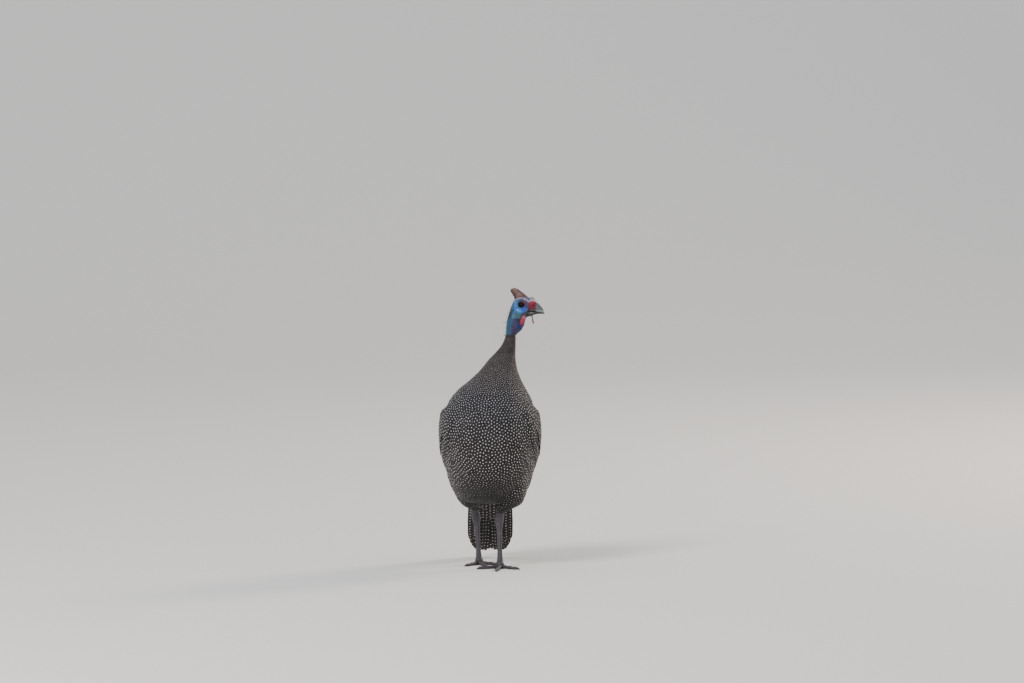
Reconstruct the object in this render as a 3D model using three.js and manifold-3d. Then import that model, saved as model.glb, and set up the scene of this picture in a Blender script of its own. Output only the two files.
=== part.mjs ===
// A helmeted guinea fowl standing alert, life size, in millimetres.
// Each shape is built facing +X with its left side towards +Y, and the bird is turned at the end to face -Y.
// The toes rest on the plane Z = 0.
import * as THREE from "three";
import { mergeVertices } from "three/addons/utils/BufferGeometryUtils.js";
import Module from "manifold-3d";

const wasm = await Module();
wasm.setup();

// Driving dimensions
const GAP = 0.3;
const LAP_SLOPE = 0.085;
const NECK_JOINT_HEIGHT = 345;
const HEAD_JOINT_HEIGHT = 421;
const EYE_LEVEL = { forward: 36, left: 60, height: 480 };
const HEAD_TURN = THREE.MathUtils.degToRad(72);
const FEET = {
  left: {
    forward: 10,
    side: 18,
    hockBack: 13,
    hockSide: -1.5,
    toes: { inner: -62, middle: -7, outer: 50, hind: -168 },
  },
  right: {
    forward: -50,
    side: -20,
    hockBack: 8,
    hockSide: -5,
    toes: { inner: 66, middle: 15, outer: -34, hind: 172 },
  },
};
const HOCK_HEIGHT = 84;
const THIGH_END = 100;
const WRIST = { height: 284, turn: THREE.MathUtils.degToRad(62) };
const WING_SLANT = THREE.MathUtils.degToRad(33);
const WING_BEND = THREE.MathUtils.degToRad(24 / 230);
const TAIL_ROOT = new THREE.Vector3(-112, 0, 152);
const TAIL_DROOP = THREE.MathUtils.degToRad(62);

// Slices of the body from the belly up: height, back, front, half width and shift to the left.
const BODY_ROWS = [
  [112, -40, -38, 0, 0],
  [115, -68, -2, 36, 0],
  [125, -98, 34, 56, 0],
  [144, -120, 62, 70, 0],
  [162, -128, 78, 76, 0],
  [180, -127, 89, 80, 0],
  [198, -122, 97, 82.5, 0],
  [216, -115, 102, 84.5, 0],
  [234, -107, 104, 85, 0],
  [252, -97, 103, 85, 0],
  [270, -86, 100, 83.5, 0],
  [288, -73, 95, 80, 0],
  [306, -58, 87, 74, 1.5],
  [324, -42, 78, 62.5, 4],
  [342, -26, 68, 47, 10],
  [360, -11, 58, 34, 16],
  [378, 2, 50, 25, 21.5],
  [390, 9, 45, 19, 27],
  [405, 15, 41, 13, 33.5],
  [421, 18.5, 38.5, 10, 37],
  [437, 20, 38, 9.5, 40],
];

// Slices of the bare head and upper neck, measured from the point between the eyes.
const HEAD_ROWS = [
  [-68, -37, -19.5, 9, 0],
  [-60, -34.4, -18.6, 9.6, 0],
  [-54, -33, -10.6, 10.4, 0],
  [-47, -32.6, -4, 11, 0],
  [-39, -32, 0.8, 11.5, 0],
  [-31, -30.8, 2.8, 12.1, 0],
  [-24, -28.6, 5.6, 13, 0],
  [-17, -26.5, 12, 13.8, 0],
  [-10, -24.2, 17, 14.5, 0],
  [-3, -21.8, 18, 14.6, 0],
  [3, -19.2, 17.5, 13.7, 0],
  [8.4, -16.6, 15.5, 11.4, 0],
  [12, -11, 12, 7.4, 0],
  [13.8, -1, 1, 0, 0],
];

// Slices of the bony helmet, which leans back over the crown.
const HELMET_ROWS = [
  [5, -16.6, 12.6, 7, 0],
  [10, -17.2, 12, 6.3, 0],
  [13.4, -18.4, 9, 5.6, 0],
  [17, -21, 4.6, 5, 0],
  [20.6, -23.2, -0.4, 4.3, 0],
  [23.8, -24.5, -4.9, 3.6, 0],
  [26.6, -23.2, -9.6, 2.7, 0],
  [28.2, -20, -13.4, 1.5, 0],
  [28.7, -17.4, -16, 0, 0],
];

// Row tables are read on a smooth curve that passes through every row.
function readRows(rows, at) {
  const last = rows.length - 1;
  const i = Math.min(Math.max(Math.floor(at), 0), last - 1);
  const t = at - i;
  const row = (j) => rows[Math.min(Math.max(j, 0), last)];
  return rows[0].map((_, c) => {
    const [p, a, b, q] = [row(i - 1)[c], row(i)[c], row(i + 1)[c], row(i + 2)[c]];
    const [slopeA, slopeB] = [(b - p) / 2, (q - a) / 2];
    const rise = b - a;
    return a + t * (slopeA + t * (3 * rise - 2 * slopeA - slopeB + t * (slopeA + slopeB - 2 * rise)));
  });
}

// A skin round an upright stack of egg-shaped slices, reached by a row number and an angle from the front,
// which grows towards the left.
class Skin {
  constructor(rows, egg) {
    this.rows = rows;
    this.egg = egg;
  }

  base(row, angle) {
    const [height, back, front, half, shift] = readRows(this.rows, row);
    const [c, s] = [Math.cos(angle), Math.sin(angle)];
    const forward = (front + back) / 2 + ((front - back) / 2) * c;
    return new THREE.Vector3(forward, shift + half * s * (1 + this.egg * c), height);
  }

  // The way up and the way round along the skin, and the way out of it.
  frame(row, angle) {
    const step = 0.02;
    const inside = Math.min(Math.max(row, 3 * step), this.rows.length - 1 - 3 * step);
    const up = this.base(inside + step, angle).sub(this.base(inside - step, angle)).divideScalar(2 * step);
    const [ahead, behind] = [this.base(inside, angle + step), this.base(inside, angle - step)];
    const round = ahead.sub(behind).divideScalar(2 * step);
    const out = new THREE.Vector3().crossVectors(round, up).normalize();
    return { up, round, out };
  }

  point(row, angle, out = 0) {
    const p = this.base(row, angle);
    return out === 0 ? p : p.addScaledVector(this.frame(row, angle).out, out);
  }

  rowAt(height) {
    let [low, high] = [0, this.rows.length - 1];
    while (high - low > 1e-6) {
      const middle = (low + high) / 2;
      if (readRows(this.rows, middle)[0] < height) low = middle;
      else high = middle;
    }
    return low;
  }

  // The row and angle reached by going a distance along the skin, at a bearing from straight down.
  walk(row, angle, bearing, distance, steps = 4, bend = 0) {
    let [r, a] = [row, angle];
    for (let i = 0; i < steps; i += 1) {
      const heading = bearing + (bend * distance * (i + 0.5)) / steps;
      const { up, round, out } = this.frame(r, a);
      const down = up.clone().normalize().negate();
      const across = new THREE.Vector3().crossVectors(down, out);
      const go = down.multiplyScalar(Math.cos(heading)).addScaledVector(across, Math.sin(heading));
      const [uu, ur, rr] = [up.dot(up), up.dot(round), round.dot(round)];
      const [gu, gr] = [go.dot(up), go.dot(round)];
      const size = distance / steps / (uu * rr - ur * ur);
      r = Math.min(Math.max(r + size * (gu * rr - gr * ur), 0.2), this.rows.length - 1.01);
      a += size * (gr * uu - gu * ur);
    }
    return [r, a];
  }
}

// Steady draws for small differences between feathers.
let drawn = 7;
function random(low, high) {
  drawn = (drawn * 16807) % 2147483647;
  return low + ((high - low) * drawn) / 2147483647;
}

// A closed surface through loops of points, each loop with the same number, and flat fans over its two ends.
function loft(loops) {
  const sides = loops[0].length;
  const points = loops.flat();
  const middle = (loop) => loop.reduce((sum, p) => sum.add(p), new THREE.Vector3()).divideScalar(sides);
  points.push(middle(loops[0]), middle(loops[loops.length - 1]));
  const [firstCap, lastCap] = [points.length - 2, points.length - 1];
  const faces = [];
  for (let i = 0; i + 1 < loops.length; i += 1) {
    for (let j = 0; j < sides; j += 1) {
      const k = (j + 1) % sides;
      const [a, b, c, d] = [i * sides + j, i * sides + k, (i + 1) * sides + k, (i + 1) * sides + j];
      faces.push(a, b, c, a, c, d);
    }
  }
  const top = (loops.length - 1) * sides;
  for (let j = 0; j < sides; j += 1) {
    const k = (j + 1) % sides;
    faces.push(firstCap, k, j, lastCap, top + j, top + k);
  }
  return closed(points, faces);
}

function closed(points, faces) {
  const geometry = new THREE.BufferGeometry();
  const numbers = points.flatMap((p) => [p.x, p.y, p.z]);
  geometry.setAttribute("position", new THREE.Float32BufferAttribute(numbers, 3));
  geometry.setIndex(faces);
  return geometry;
}

function solid(geometry) {
  const bare = geometry.clone();
  bare.deleteAttribute("normal");
  bare.deleteAttribute("uv");
  const merged = mergeVertices(bare, 1e-4);
  const position = merged.attributes.position;
  const corner = (i) => new THREE.Vector3().fromBufferAttribute(position, i);
  const index = merged.index.array;
  const faces = [];
  let volume = 0;
  for (let i = 0; i < index.length; i += 3) {
    const [a, b, c] = [index[i], index[i + 1], index[i + 2]];
    if (a === b || b === c || c === a) continue;
    faces.push([a, b, c]);
    volume += corner(a).dot(corner(b).cross(corner(c)));
  }
  const facing = volume < 0 ? faces.map(([a, b, c]) => [a, c, b]) : faces;
  const triVerts = new Uint32Array(facing.flat());
  return new wasm.Manifold(new wasm.Mesh({ numProp: 3, vertProperties: position.array, triVerts }));
}

// The largest closed surface of a solid, without scraps or sealed hollows.
function largest(made) {
  return made.decompose().sort((a, b) => b.volume() - a.volume())[0];
}

function join(pieces) {
  return wasm.Manifold.union(pieces);
}

function node(name, made, material) {
  const { vertProperties, triVerts } = largest(made).getMesh();
  const geometry = new THREE.BufferGeometry();
  geometry.setAttribute("position", new THREE.BufferAttribute(new Float32Array(vertProperties), 3));
  geometry.setIndex(new THREE.BufferAttribute(new Uint32Array(triVerts), 1));
  geometry.computeVertexNormals();
  const mesh = new THREE.Mesh(geometry, material.clone());
  mesh.name = name;
  return mesh;
}

// Row numbers from one row to another in even steps.
function spread(from, to, steps) {
  return Array.from({ length: steps + 1 }, (_, i) => from + ((to - from) * i) / steps);
}

function skinSolid(skin, rows, sides, out = 0) {
  const place = (row, j) => skin.point(row, (2 * Math.PI * j) / sides, out);
  const ring = (row) => Array.from({ length: sides }, (_, j) => place(row, j));
  return solid(loft(rows.map(ring)));
}

// A rounded limb along a path. Each station: a point, half width, half depth and the way its depth runs.
function limb(stations, sides) {
  const loops = stations.map(({ at, half, deep, along, depthWay }) => {
    const across = new THREE.Vector3().crossVectors(along, depthWay).normalize();
    const depth = new THREE.Vector3().crossVectors(across, along).normalize();
    return Array.from({ length: sides }, (_, j) => {
      const angle = (2 * Math.PI * j) / sides;
      const off = depth.clone().multiplyScalar(deep * Math.cos(angle));
      return at.clone().add(off).addScaledVector(across, -half * Math.sin(angle));
    });
  });
  return solid(loft(loops));
}

function boxSolid(low, high) {
  const size = high.clone().sub(low);
  const box = new THREE.BoxGeometry(size.x, size.y, size.z);
  const centre = low.clone().add(high).divideScalar(2);
  box.translate(centre.x, centre.y, centre.z);
  return solid(box);
}

function ball(at, radii, detail = 16) {
  const sphere = new THREE.SphereGeometry(1, detail, Math.round(detail * 0.6));
  sphere.scale(radii.x, radii.y, radii.z);
  sphere.translate(at.x, at.y, at.z);
  return solid(sphere);
}

const vec = (x, y, z) => new THREE.Vector3(x, y, z);
const floorBelow = boxSolid(vec(-400, -400, -60), vec(400, 400, 0));

// A feather vane is a thin plate with a round tip. Both its faces are split into triangles alike.
const VANE_OUTLINE = [
  [0, 0.6],
  [0.3, 0.9],
  [0.66, 1],
  [0.9, 0.76],
  [1, 0.26],
];
const VANE_THICK = [0.75, 0.5];

// The place function turns a distance along, a distance across and a lift into a point.
// Each vane lies like a roof tile: its edge on the side of lap is lifted over the next vane.
function vane({ root, tip, width, lifts, lap }, place) {
  const sections = VANE_OUTLINE.map(([t, wide]) => {
    const middle = [0, 1].map((c) => root[c] + (tip[c] - root[c]) * t);
    const half = (width / 2) * wide;
    const lift = lifts[0] + (lifts[1] - lifts[0]) * Math.min(t / 0.3, 1) + (lifts[2] - lifts[1]) * t;
    const thick = VANE_THICK[0] + (VANE_THICK[1] - VANE_THICK[0]) * t;
    const rise = LAP_SLOPE * half * lap;
    const edges = [[half, rise], [-half, -rise]];
    const [left, right] = [thick / 2, -thick / 2].map((depth) => (
      edges.map(([across, up]) => place(middle[0], middle[1] + across, lift + up + depth))
    ));
    return [left[0], left[1], right[1], right[0]];
  });
  const faces = [0, 1, 2, 0, 2, 3];
  for (let i = 0; i + 1 < sections.length; i += 1) {
    const [a, b, c, d] = [0, 1, 2, 3].map((j) => 4 * i + j);
    const [e, f, g, h] = [a + 4, b + 4, c + 4, d + 4];
    faces.push(a, e, f, a, f, b, b, f, g, b, g, c, d, g, h, d, c, g, d, h, e, d, e, a);
  }
  const end = 4 * (sections.length - 1);
  faces.push(end, end + 2, end + 1, end, end + 3, end + 2);
  return solid(closed(sections.flat(), faces));
}

const body = new Skin(BODY_ROWS, 0.06);
const headSkin = new Skin(HEAD_ROWS, 0.1);
const helmetSkin = new Skin(HELMET_ROWS, -0.1);

const finish = (color, roughness) => new THREE.MeshStandardMaterial({ color, roughness, metalness: 0 });
const spottedPlumage = finish(0x2a2726, 0.85);
const finePlumage = finish(0x5a4f4c, 0.85);
const blueSkin = finish(0x1f5fae, 0.55);
const redSkin = finish(0xa3203c, 0.5);
const helmetHorn = finish(0x6d4a3c, 0.5);
const billHorn = finish(0x8a857c, 0.4);
const eyeDark = finish(0x120c0a, 0.1);
const legScale = finish(0x6f6a72, 0.6);
const clawHorn = finish(0x4a4440, 0.45);

// Torso and feathered neck
const SIDES = 28;
const torsoRows = spread(0, body.rowAt(NECK_JOINT_HEIGHT), 20);
const neckRows = spread(body.rowAt(NECK_JOINT_HEIGHT + GAP), body.rowAt(HEAD_JOINT_HEIGHT - GAP / 2), 8);
const bodyClear = skinSolid(body, [...torsoRows, ...neckRows.slice(1)], SIDES, GAP);

function torso() {
  return node("torso", skinSolid(body, torsoRows, SIDES), spottedPlumage);
}

function neck() {
  return node("neck", skinSolid(body, neckRows, SIDES), finePlumage);
}

// A place on a folded wing: how far from the wrist, how far up across the wing, and how far off the body.
function onWing(side) {
  return (along, across, lift) => {
    const start = [body.rowAt(WRIST.height), side * WRIST.turn];
    const here = body.walk(...start, -side * WING_SLANT, along, 8, -side * WING_BEND);
    const upward = WING_SLANT + WING_BEND * along + Math.PI / 2;
    return body.point(...body.walk(...here, -side * upward, across, 3), lift);
  };
}

// Slices of the flesh of the wing: distance along, lower edge, upper edge and depth.
const WING_CORE = [
  [-8, -9, 8, 1.6],
  [0, -18, 17, 3.4],
  [22, -30, 29, 4.2],
  [55, -35, 38, 2.8],
  [95, -35, 42, 1],
  [130, -30, 38, 0.7],
  [158, -20, 26, 0.5],
];

// Feathers of all tiers follow the same lines down the wing. Each line runs at a steady share of the width:
// distance along, lower line and upper line.
const WING_LINES = [
  [0, -15, 14],
  [30, -27, 26],
  [70, -31, 33],
  [120, -29, 35],
  [170, -22, 27],
  [230, -12, 13],
];
const WING_COUNT = 6;

function lineAcross(along, share) {
  const i = Math.min(Math.max(WING_LINES.findIndex((row) => row[0] > along), 1), WING_LINES.length - 1);
  const [from, to] = [WING_LINES[i - 1], WING_LINES[i]];
  const t = (along - from[0]) / (to[0] - from[0]);
  const [low, high] = [1, 2].map((c) => from[c] + (to[c] - from[c]) * t);
  return low + (high - low) * share;
}

// Tiers from the wrist back: first and last line, root, tip of the lowest and highest feather, how much
// further the middle ones reach, and lift at the root, near it and at the tip.
const WING_TIERS = [
  { lines: [0, 5], root: 3, tips: [34, 36], bulge: 8, lifts: [1.6, 7.4, 9.1] },
  { lines: [0, 5], root: 22, tips: [66, 68], bulge: 10, lifts: [2, 6.8, 7.1] },
  { lines: [0, 5], root: 50, tips: [106, 108], bulge: 12, lifts: [1.6, 5, 5.1] },
  { lines: [0, 5], root: 88, tips: [196, 176], bulge: 18, lifts: [0.8, 3.2, 3.2] },
  { lines: [1, 3], root: 144, tips: [226, 214], bulge: 6, lifts: [0.4, 1.2, 1.2] },
];

function wingVanes(side) {
  const place = onWing(side);
  return WING_TIERS.flatMap(({ lines: [first, last], root, tips, bulge, lifts }) => (
    spread(first, last, last - first).map((line) => {
      const share = line / (WING_COUNT - 1);
      const t = (line - first) / (last - first);
      const from = root - 3 * Math.cos(Math.PI * t) ** 2;
      const to = tips[0] + (tips[1] - tips[0]) * t + bulge * Math.sin(Math.PI * t) + random(-2, 2);
      const middle = (from + to) / 2;
      const spacing = (lineAcross(middle, 1) - lineAcross(middle, 0)) / (WING_COUNT - 1);
      return vane({
        root: [from, lineAcross(from, share)],
        tip: [to, lineAcross(to, share)],
        width: 1.5 * spacing,
        lifts,
        lap: -1,
      }, place);
    })
  ));
}

function wingCore(side) {
  const place = onWing(side);
  const loops = WING_CORE.map(([along, low, high, depth]) => {
    const across = spread(0, 1, 5);
    const bulk = (t) => 0.8 + depth * Math.sin(Math.PI * (0.1 + 0.8 * t));
    const outer = across.map((t) => place(along, low + (high - low) * t, bulk(t)));
    const inner = across.map((t) => place(along, low + (high - low) * t, -2.5));
    return [...outer, ...inner.reverse()];
  });
  return solid(loft(loops));
}

function wing(side) {
  const clear = join([bodyClear, tailCore(GAP), thighSolid(FEET[side > 0 ? "left" : "right"], GAP)]);
  const made = join([wingCore(side), ...wingVanes(side)]).subtract(clear);
  return node(side > 0 ? "wing_left" : "wing_right", made, spottedPlumage);
}

const tailDown = vec(-Math.cos(TAIL_DROOP), 0, -Math.sin(TAIL_DROOP));
const tailOut = vec(-Math.sin(TAIL_DROOP), 0, Math.cos(TAIL_DROOP));

// A place on the tail: how far from its root, how far to the left, and how far off its upper face.
function onTail(along, across, lift) {
  const middle = TAIL_ROOT.clone().addScaledVector(tailDown, along);
  return middle.add(vec(0, across, 0)).addScaledVector(tailOut, lift);
}

// The rump and the root of the tail, in slices: distance along, half width, half depth and lift.
function tailCore(grow = 0) {
  const stations = [
    [-34, 30, 18, 0],
    [-8, 38, 20, -2],
    [18, 39, 16, -4.5],
    [42, 36, 9.4, -4.4],
    [62, 30, 3, -3.4],
  ].map(([along, half, deep, lift]) => ({
    at: onTail(along, 0, lift),
    half: half + grow,
    deep: deep + grow,
    along: tailDown,
    depthWay: tailOut,
  }));
  return limb(stations, 16);
}

// Tail feathers in two halves that fall like a roof, each feather under its inner neighbour.
const TAIL_FEATHERS = {
  half: 7,
  root: 24,
  tip: 160,
  rootStep: 5,
  tipSpread: 36,
  bend: 1.25,
  sideFall: 30,
  width: 17,
  lift: 1,
  fall: 1.25,
};

function tailFeathers() {
  const { half, root, tip, rootStep, tipSpread, bend, sideFall, width, lift, fall } = TAIL_FEATHERS;
  return [1, -1].flatMap((way) => spread(0, half - 1, half - 1).map((n) => {
    const level = lift - fall * n - (way > 0 ? 0 : fall / 2);
    const share = (n + 0.5) / half;
    const shorter = sideFall * share ** 4 + (n === 0 ? 2 : 0);
    return vane({
      root: [root, way * rootStep * (n + 0.4)],
      tip: [tip - shorter + random(-1, 1), way * tipSpread * Math.sin(bend * share)],
      width: width * random(0.95, 1.05),
      lifts: [level - 0.6, level, level],
      lap: 0,
    }, onTail);
  }));
}

// Coverts over and under the root of the tail, in tiers: count, root, tip, half spread, width, lifts at the
// root, near it and at the tip, and how far the side ones droop.
const TAIL_COVERTS = [
  { count: 5, root: 36, tip: 92, spread: [20, 26], width: 15, lifts: [2, 5.4, 3.2], droop: 4 },
  { count: 5, root: 10, tip: 66, spread: [22, 27], width: 16, lifts: [9, 12.4, 6.6], droop: 5 },
  { count: 4, root: -14, tip: 38, spread: [22, 26], width: 17, lifts: [15, 18.6, 12.2], droop: 6 },
  { count: 3, root: 26, tip: 84, spread: [14, 18], width: 17, lifts: [-13, -16.2, -10], droop: -3 },
  { count: 4, root: 0, tip: 56, spread: [18, 22], width: 17, lifts: [-17, -21.8, -16], droop: -4 },
];

function tailCoverts() {
  return TAIL_COVERTS.flatMap(({ count, root, tip, spread: [low, high], width, lifts, droop }) => (
    spread(-1, 1, count - 1).map((t) => vane({
      root: [root, low * t],
      tip: [tip - 5 * t * t + random(-1, 1), high * t],
      width: width * random(0.95, 1.05),
      lifts: lifts.map((lift) => lift - droop * t * t),
      lap: 0,
    }, onTail))
  ));
}

function tail() {
  const made = join([tailCore(), ...tailFeathers(), ...tailCoverts()]);
  return node("tail", made.subtract(bodyClear), spottedPlumage);
}

// Feathered thigh, from inside the flank down to the hock.
function thighSolid(foot, grow = 0) {
  const hock = vec(foot.forward - foot.hockBack, foot.side + foot.hockSide, HOCK_HEIGHT);
  const way = Math.sign(foot.side);
  const stations = [
    [190, foot.forward * 0.4 + 8, 44 * way, 26, 34],
    [160, foot.forward * 0.5 + 8, 42 * way, 27, 36],
    [136, foot.forward * 0.6 + 4, 39 * way, 26, 31],
    [118, foot.forward * 0.8 - 2, 36 * way, 21, 22],
    [108, hock.x + 8, hock.y + 9 * way, 15, 15.5],
    [THIGH_END + GAP, hock.x + 4, hock.y + 3 * way, 8.8, 9.6],
  ].map(([height, forward, left, half, deep]) => ({
    at: vec(forward, left, height),
    half: half + grow,
    deep: deep + grow,
    along: vec(0, 0, -1),
    depthWay: vec(1, 0, 0),
  }));
  return limb(stations, 16);
}

function thigh(side, foot) {
  return node(`thigh_${side}`, thighSolid(foot).subtract(bodyClear), spottedPlumage);
}

const HUB = { radii: new THREE.Vector3(8.2, 7.4, 7.6), height: 7.2 };

function hubAt(foot, grow = 0) {
  const radii = HUB.radii.clone().addScalar(grow);
  return ball(vec(foot.forward, foot.side, HUB.height), radii, 12);
}

// Scaly shank, with its front plates raised one below the other, and a knob at the hock.
function shankSolid(foot, grow = 0) {
  const hock = vec(foot.forward - foot.hockBack, foot.side + foot.hockSide, HOCK_HEIGHT);
  const ankle = vec(foot.forward - 1, foot.side, 8);
  const along = ankle.clone().sub(hock).normalize();
  const way = Math.sign(foot.side);
  const plates = 8;
  const stations = [
    { height: THIGH_END, half: 8.2, deep: 8.8, forward: 4.8, left: 2.6 * way },
    { height: 92, half: 7.8, deep: 8.4, forward: 2, left: 1 * way },
    { height: HOCK_HEIGHT, half: 8, deep: 8.2 },
    { height: 77, half: 6.4, deep: 7 },
  ];
  const [highest, lowest] = [71, 16];
  for (let i = 0; i < plates; i += 1) {
    const height = highest - ((highest - lowest) * i) / plates;
    const swell = 1 + 0.22 * Math.abs((2 * i) / plates - 1) ** 2;
    const fall = (highest - lowest) / plates;
    stations.push({ height, half: 4.1 * swell, deep: 4.7 * swell });
    stations.push({ height: height - fall * 0.8, half: 4.4 * swell, deep: 5.3 * swell });
  }
  stations.push({ height: 10, half: 5.6, deep: 6 });
  const rings = stations.map(({ height, half, deep, forward = 0, left = 0 }) => ({
    at: ankle.clone().addScaledVector(along, (height - ankle.z) / along.z).add(vec(forward, left, 0)),
    half: half + grow,
    deep: deep + grow,
    along: vec(0, 0, -1),
    depthWay: vec(1, 0, 0),
  }));
  return limb(rings, 10);
}

function shank(side, foot) {
  return node(`shank_${side}`, shankSolid(foot).subtract(hubAt(foot, GAP)), legScale);
}

const TOES = [
  { name: "inner", length: 38, girth: 3.8, claw: 10 },
  { name: "middle", length: 52, girth: 4.3, claw: 12 },
  { name: "outer", length: 37, girth: 3.8, claw: 10 },
];
const HIND_TOE = { length: 16, girth: 2.8, claw: 7, root: 15, fall: 6 };

function toeSolid(foot, toe, grow = 0) {
  const way = headingOf(foot, toe.name);
  const stations = spread(0.05, 1, 6).map((t, i) => {
    const swell = i % 2 === 0 ? 1.1 : 0.95;
    const radius = toe.girth * (1 - 0.32 * t) * swell;
    const at = vec(foot.forward, foot.side, radius * 0.86).addScaledVector(way, toe.length * t);
    return { at, half: radius + grow, deep: radius * 0.95 + grow, along: way, depthWay: vec(0, 0, 1) };
  });
  return limb(stations, 8);
}

function headingOf(foot, toeName) {
  const turn = THREE.MathUtils.degToRad(foot.toes[toeName]);
  return vec(Math.cos(turn), Math.sin(turn), 0);
}

function clawStations(root, way, toe, sink) {
  const curve = [
    [0, 2.5, 0],
    [0.4, 2.1, -0.2],
    [0.75, 1.3, -0.9],
    [1, 0.45, -1.7],
  ];
  return curve.map(([t, radius, fall]) => ({
    at: root.clone().addScaledVector(way, toe.claw * t).add(vec(0, 0, fall + sink)),
    half: radius * 0.8,
    deep: radius,
    along: way,
    depthWay: vec(0, 0, 1),
  }));
}

function foot(side, place) {
  const made = [node(`foot_${side}`, hubAt(place).subtract(floorBelow), legScale)];
  const shankClear = shankSolid(place, GAP);
  const rootClear = join([hubAt(place, GAP), shankClear, floorBelow]);
  const middleClear = toeSolid(place, TOES[1], GAP);
  TOES.forEach((toe) => {
    const way = headingOf(place, toe.name);
    const shape = toeSolid(place, toe).subtract(rootClear);
    const cut = toe.name === "middle" ? shape : shape.subtract(middleClear);
    made.push(node(`toe_${toe.name}_${side}`, cut, legScale));
    const root = vec(place.forward, place.side, 2.9).addScaledVector(way, toe.length + GAP);
    const claw = limb(clawStations(root, way, toe, 0), 8).subtract(floorBelow);
    made.push(node(`claw_${toe.name}_${side}`, claw, clawHorn));
  });
  const way = headingOf(place, "hind");
  const start = vec(place.forward, place.side, HIND_TOE.root);
  const drop = vec(0, 0, -HIND_TOE.fall);
  const stations = [0.1, 0.45, 0.8, 1].map((t, i) => ({
    at: start.clone().addScaledVector(way, HIND_TOE.length * t).addScaledVector(drop, t * t),
    half: HIND_TOE.girth * [1, 0.9, 0.95, 0.7][i],
    deep: HIND_TOE.girth * [1, 0.9, 0.95, 0.7][i],
    along: way,
    depthWay: vec(0, 0, 1),
  }));
  made.push(node(`toe_hind_${side}`, limb(stations, 10).subtract(rootClear), legScale));
  const root = start.clone().addScaledVector(way, HIND_TOE.length + GAP).add(drop);
  made.push(node(`claw_hind_${side}`, limb(clawStations(root, way, HIND_TOE, -0.2), 8), clawHorn));
  return made;
}

// Head parts, measured from the point between the eyes.
const EYE = { forward: 0.5, side: 9.2, height: -0.6, radius: 5.4 };
const EYES = [
  ["left", 1],
  ["right", -1],
];

const headBottom = headSkin.rowAt(HEAD_JOINT_HEIGHT - EYE_LEVEL.height + GAP / 2);
const HEAD_SIDES = 24;
const headRows = spread(headBottom, HEAD_ROWS.length - 1, 17);
const headClear = skinSolid(headSkin, headRows, HEAD_SIDES, GAP);

function cereSolid(grow = 0) {
  const stations = [
    [5, -1, 11, 9.6],
    [11, -0.2, 11.6, 10.4],
    [17.5, 0.4, 12.8, 9.6],
    [22, -2, 11, 8.2],
    [25.1, -4.2, 9.2, 6.9],
  ].map(([forward, height, deep, half]) => ({
    at: vec(forward, 0, height),
    half: half + grow,
    deep: deep + grow,
    along: vec(1, 0, 0),
    depthWay: vec(0, 0, 1),
  }));
  return limb(stations, 16);
}

// A raised fold of skin from behind the eye, over it, to the cere.
const BROW = [
  [-15, 6.5, 0.7],
  [-9, 9, 1.1],
  [-1, 10.2, 1.3],
  [7, 8.6, 1.2],
  [12.5, 5, 0.9],
];

function brow(way) {
  const stations = BROW.map(([forward, height, radius], i) => {
    const next = BROW[Math.min(i + 1, BROW.length - 1)];
    const last = BROW[Math.max(i - 1, 0)];
    const row = headSkin.rowAt(height);
    const [, back, front] = readRows(HEAD_ROWS, row);
    const reach = (forward - (front + back) / 2) / ((front - back) / 2);
    const turn = Math.acos(THREE.MathUtils.clamp(reach, -0.98, 0.98));
    return {
      at: headSkin.point(row, way * turn, 0),
      half: radius,
      deep: radius,
      along: vec(next[0] - last[0], 0, next[1] - last[1]).normalize(),
      depthWay: vec(0, way, 0),
    };
  });
  return limb(stations, 6);
}

function head() {
  let made = skinSolid(headSkin, headRows, HEAD_SIDES);
  EYES.forEach(([, way]) => {
    const lid = new THREE.TorusGeometry(5.4, 1.3, 6, 16);
    lid.scale(1.08, 0.94, 1);
    lid.rotateX(Math.PI / 2);
    lid.rotateZ(way * -0.06);
    lid.translate(EYE.forward, way * 13.6, EYE.height);
    const ear = ball(vec(-17, way * 12.2, -11), vec(1.8, 1.6, 2.4), 8);
    const socketRadii = vec(1, 1, 1).multiplyScalar(EYE.radius + GAP);
    const socket = ball(vec(EYE.forward, way * EYE.side, EYE.height), socketRadii, 14);
    made = join([made, solid(lid), brow(way)]).subtract(ear).subtract(socket);
  });
  return node("head", made, blueSkin);
}

function eye([side, way]) {
  const radii = vec(1, 1, 1).multiplyScalar(EYE.radius);
  const globe = ball(vec(EYE.forward, way * EYE.side, EYE.height), radii, 14);
  return node(`eye_${side}`, globe, eyeDark);
}

function cere() {
  let made = cereSolid().subtract(headClear);
  EYES.forEach(([, way]) => {
    made = made.subtract(ball(vec(22, way * 7.6, -2.2), vec(2.4, 1.2, 1.1), 10));
  });
  return node("cere", made, redSkin);
}

function helmet() {
  const raised = skinSolid(helmetSkin, spread(0, HELMET_ROWS.length - 1, 10), 16);
  const clear = join([headClear, cereSolid(GAP), ...EYES.map(([, way]) => brow(way))]);
  return node("helmet", raised.subtract(clear), helmetHorn);
}

// Stations of the upper bill: forward, top, bottom and half width.
const UPPER_BILL = [
  [25.4, 4.6, -13.2, 6.7],
  [29, 2.4, -13.5, 6],
  [33.6, -2.4, -14, 4.7],
  [37, -6.8, -14.9, 3.2],
  [39.4, -11.4, -16.2, 1.9],
  [41.1, -16.4, -18, 0.6],
];
const LOWER_BILL = [
  [7, -12.6, -25, 9.6],
  [14, -13.2, -22, 8.2],
  [20.5, -13.8, -19.4, 6.7],
  [26.5, -14, -18.4, 5.4],
  [32, -14.6, -18, 4],
  [36.4, -15.8, -17.6, 2],
];

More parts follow.
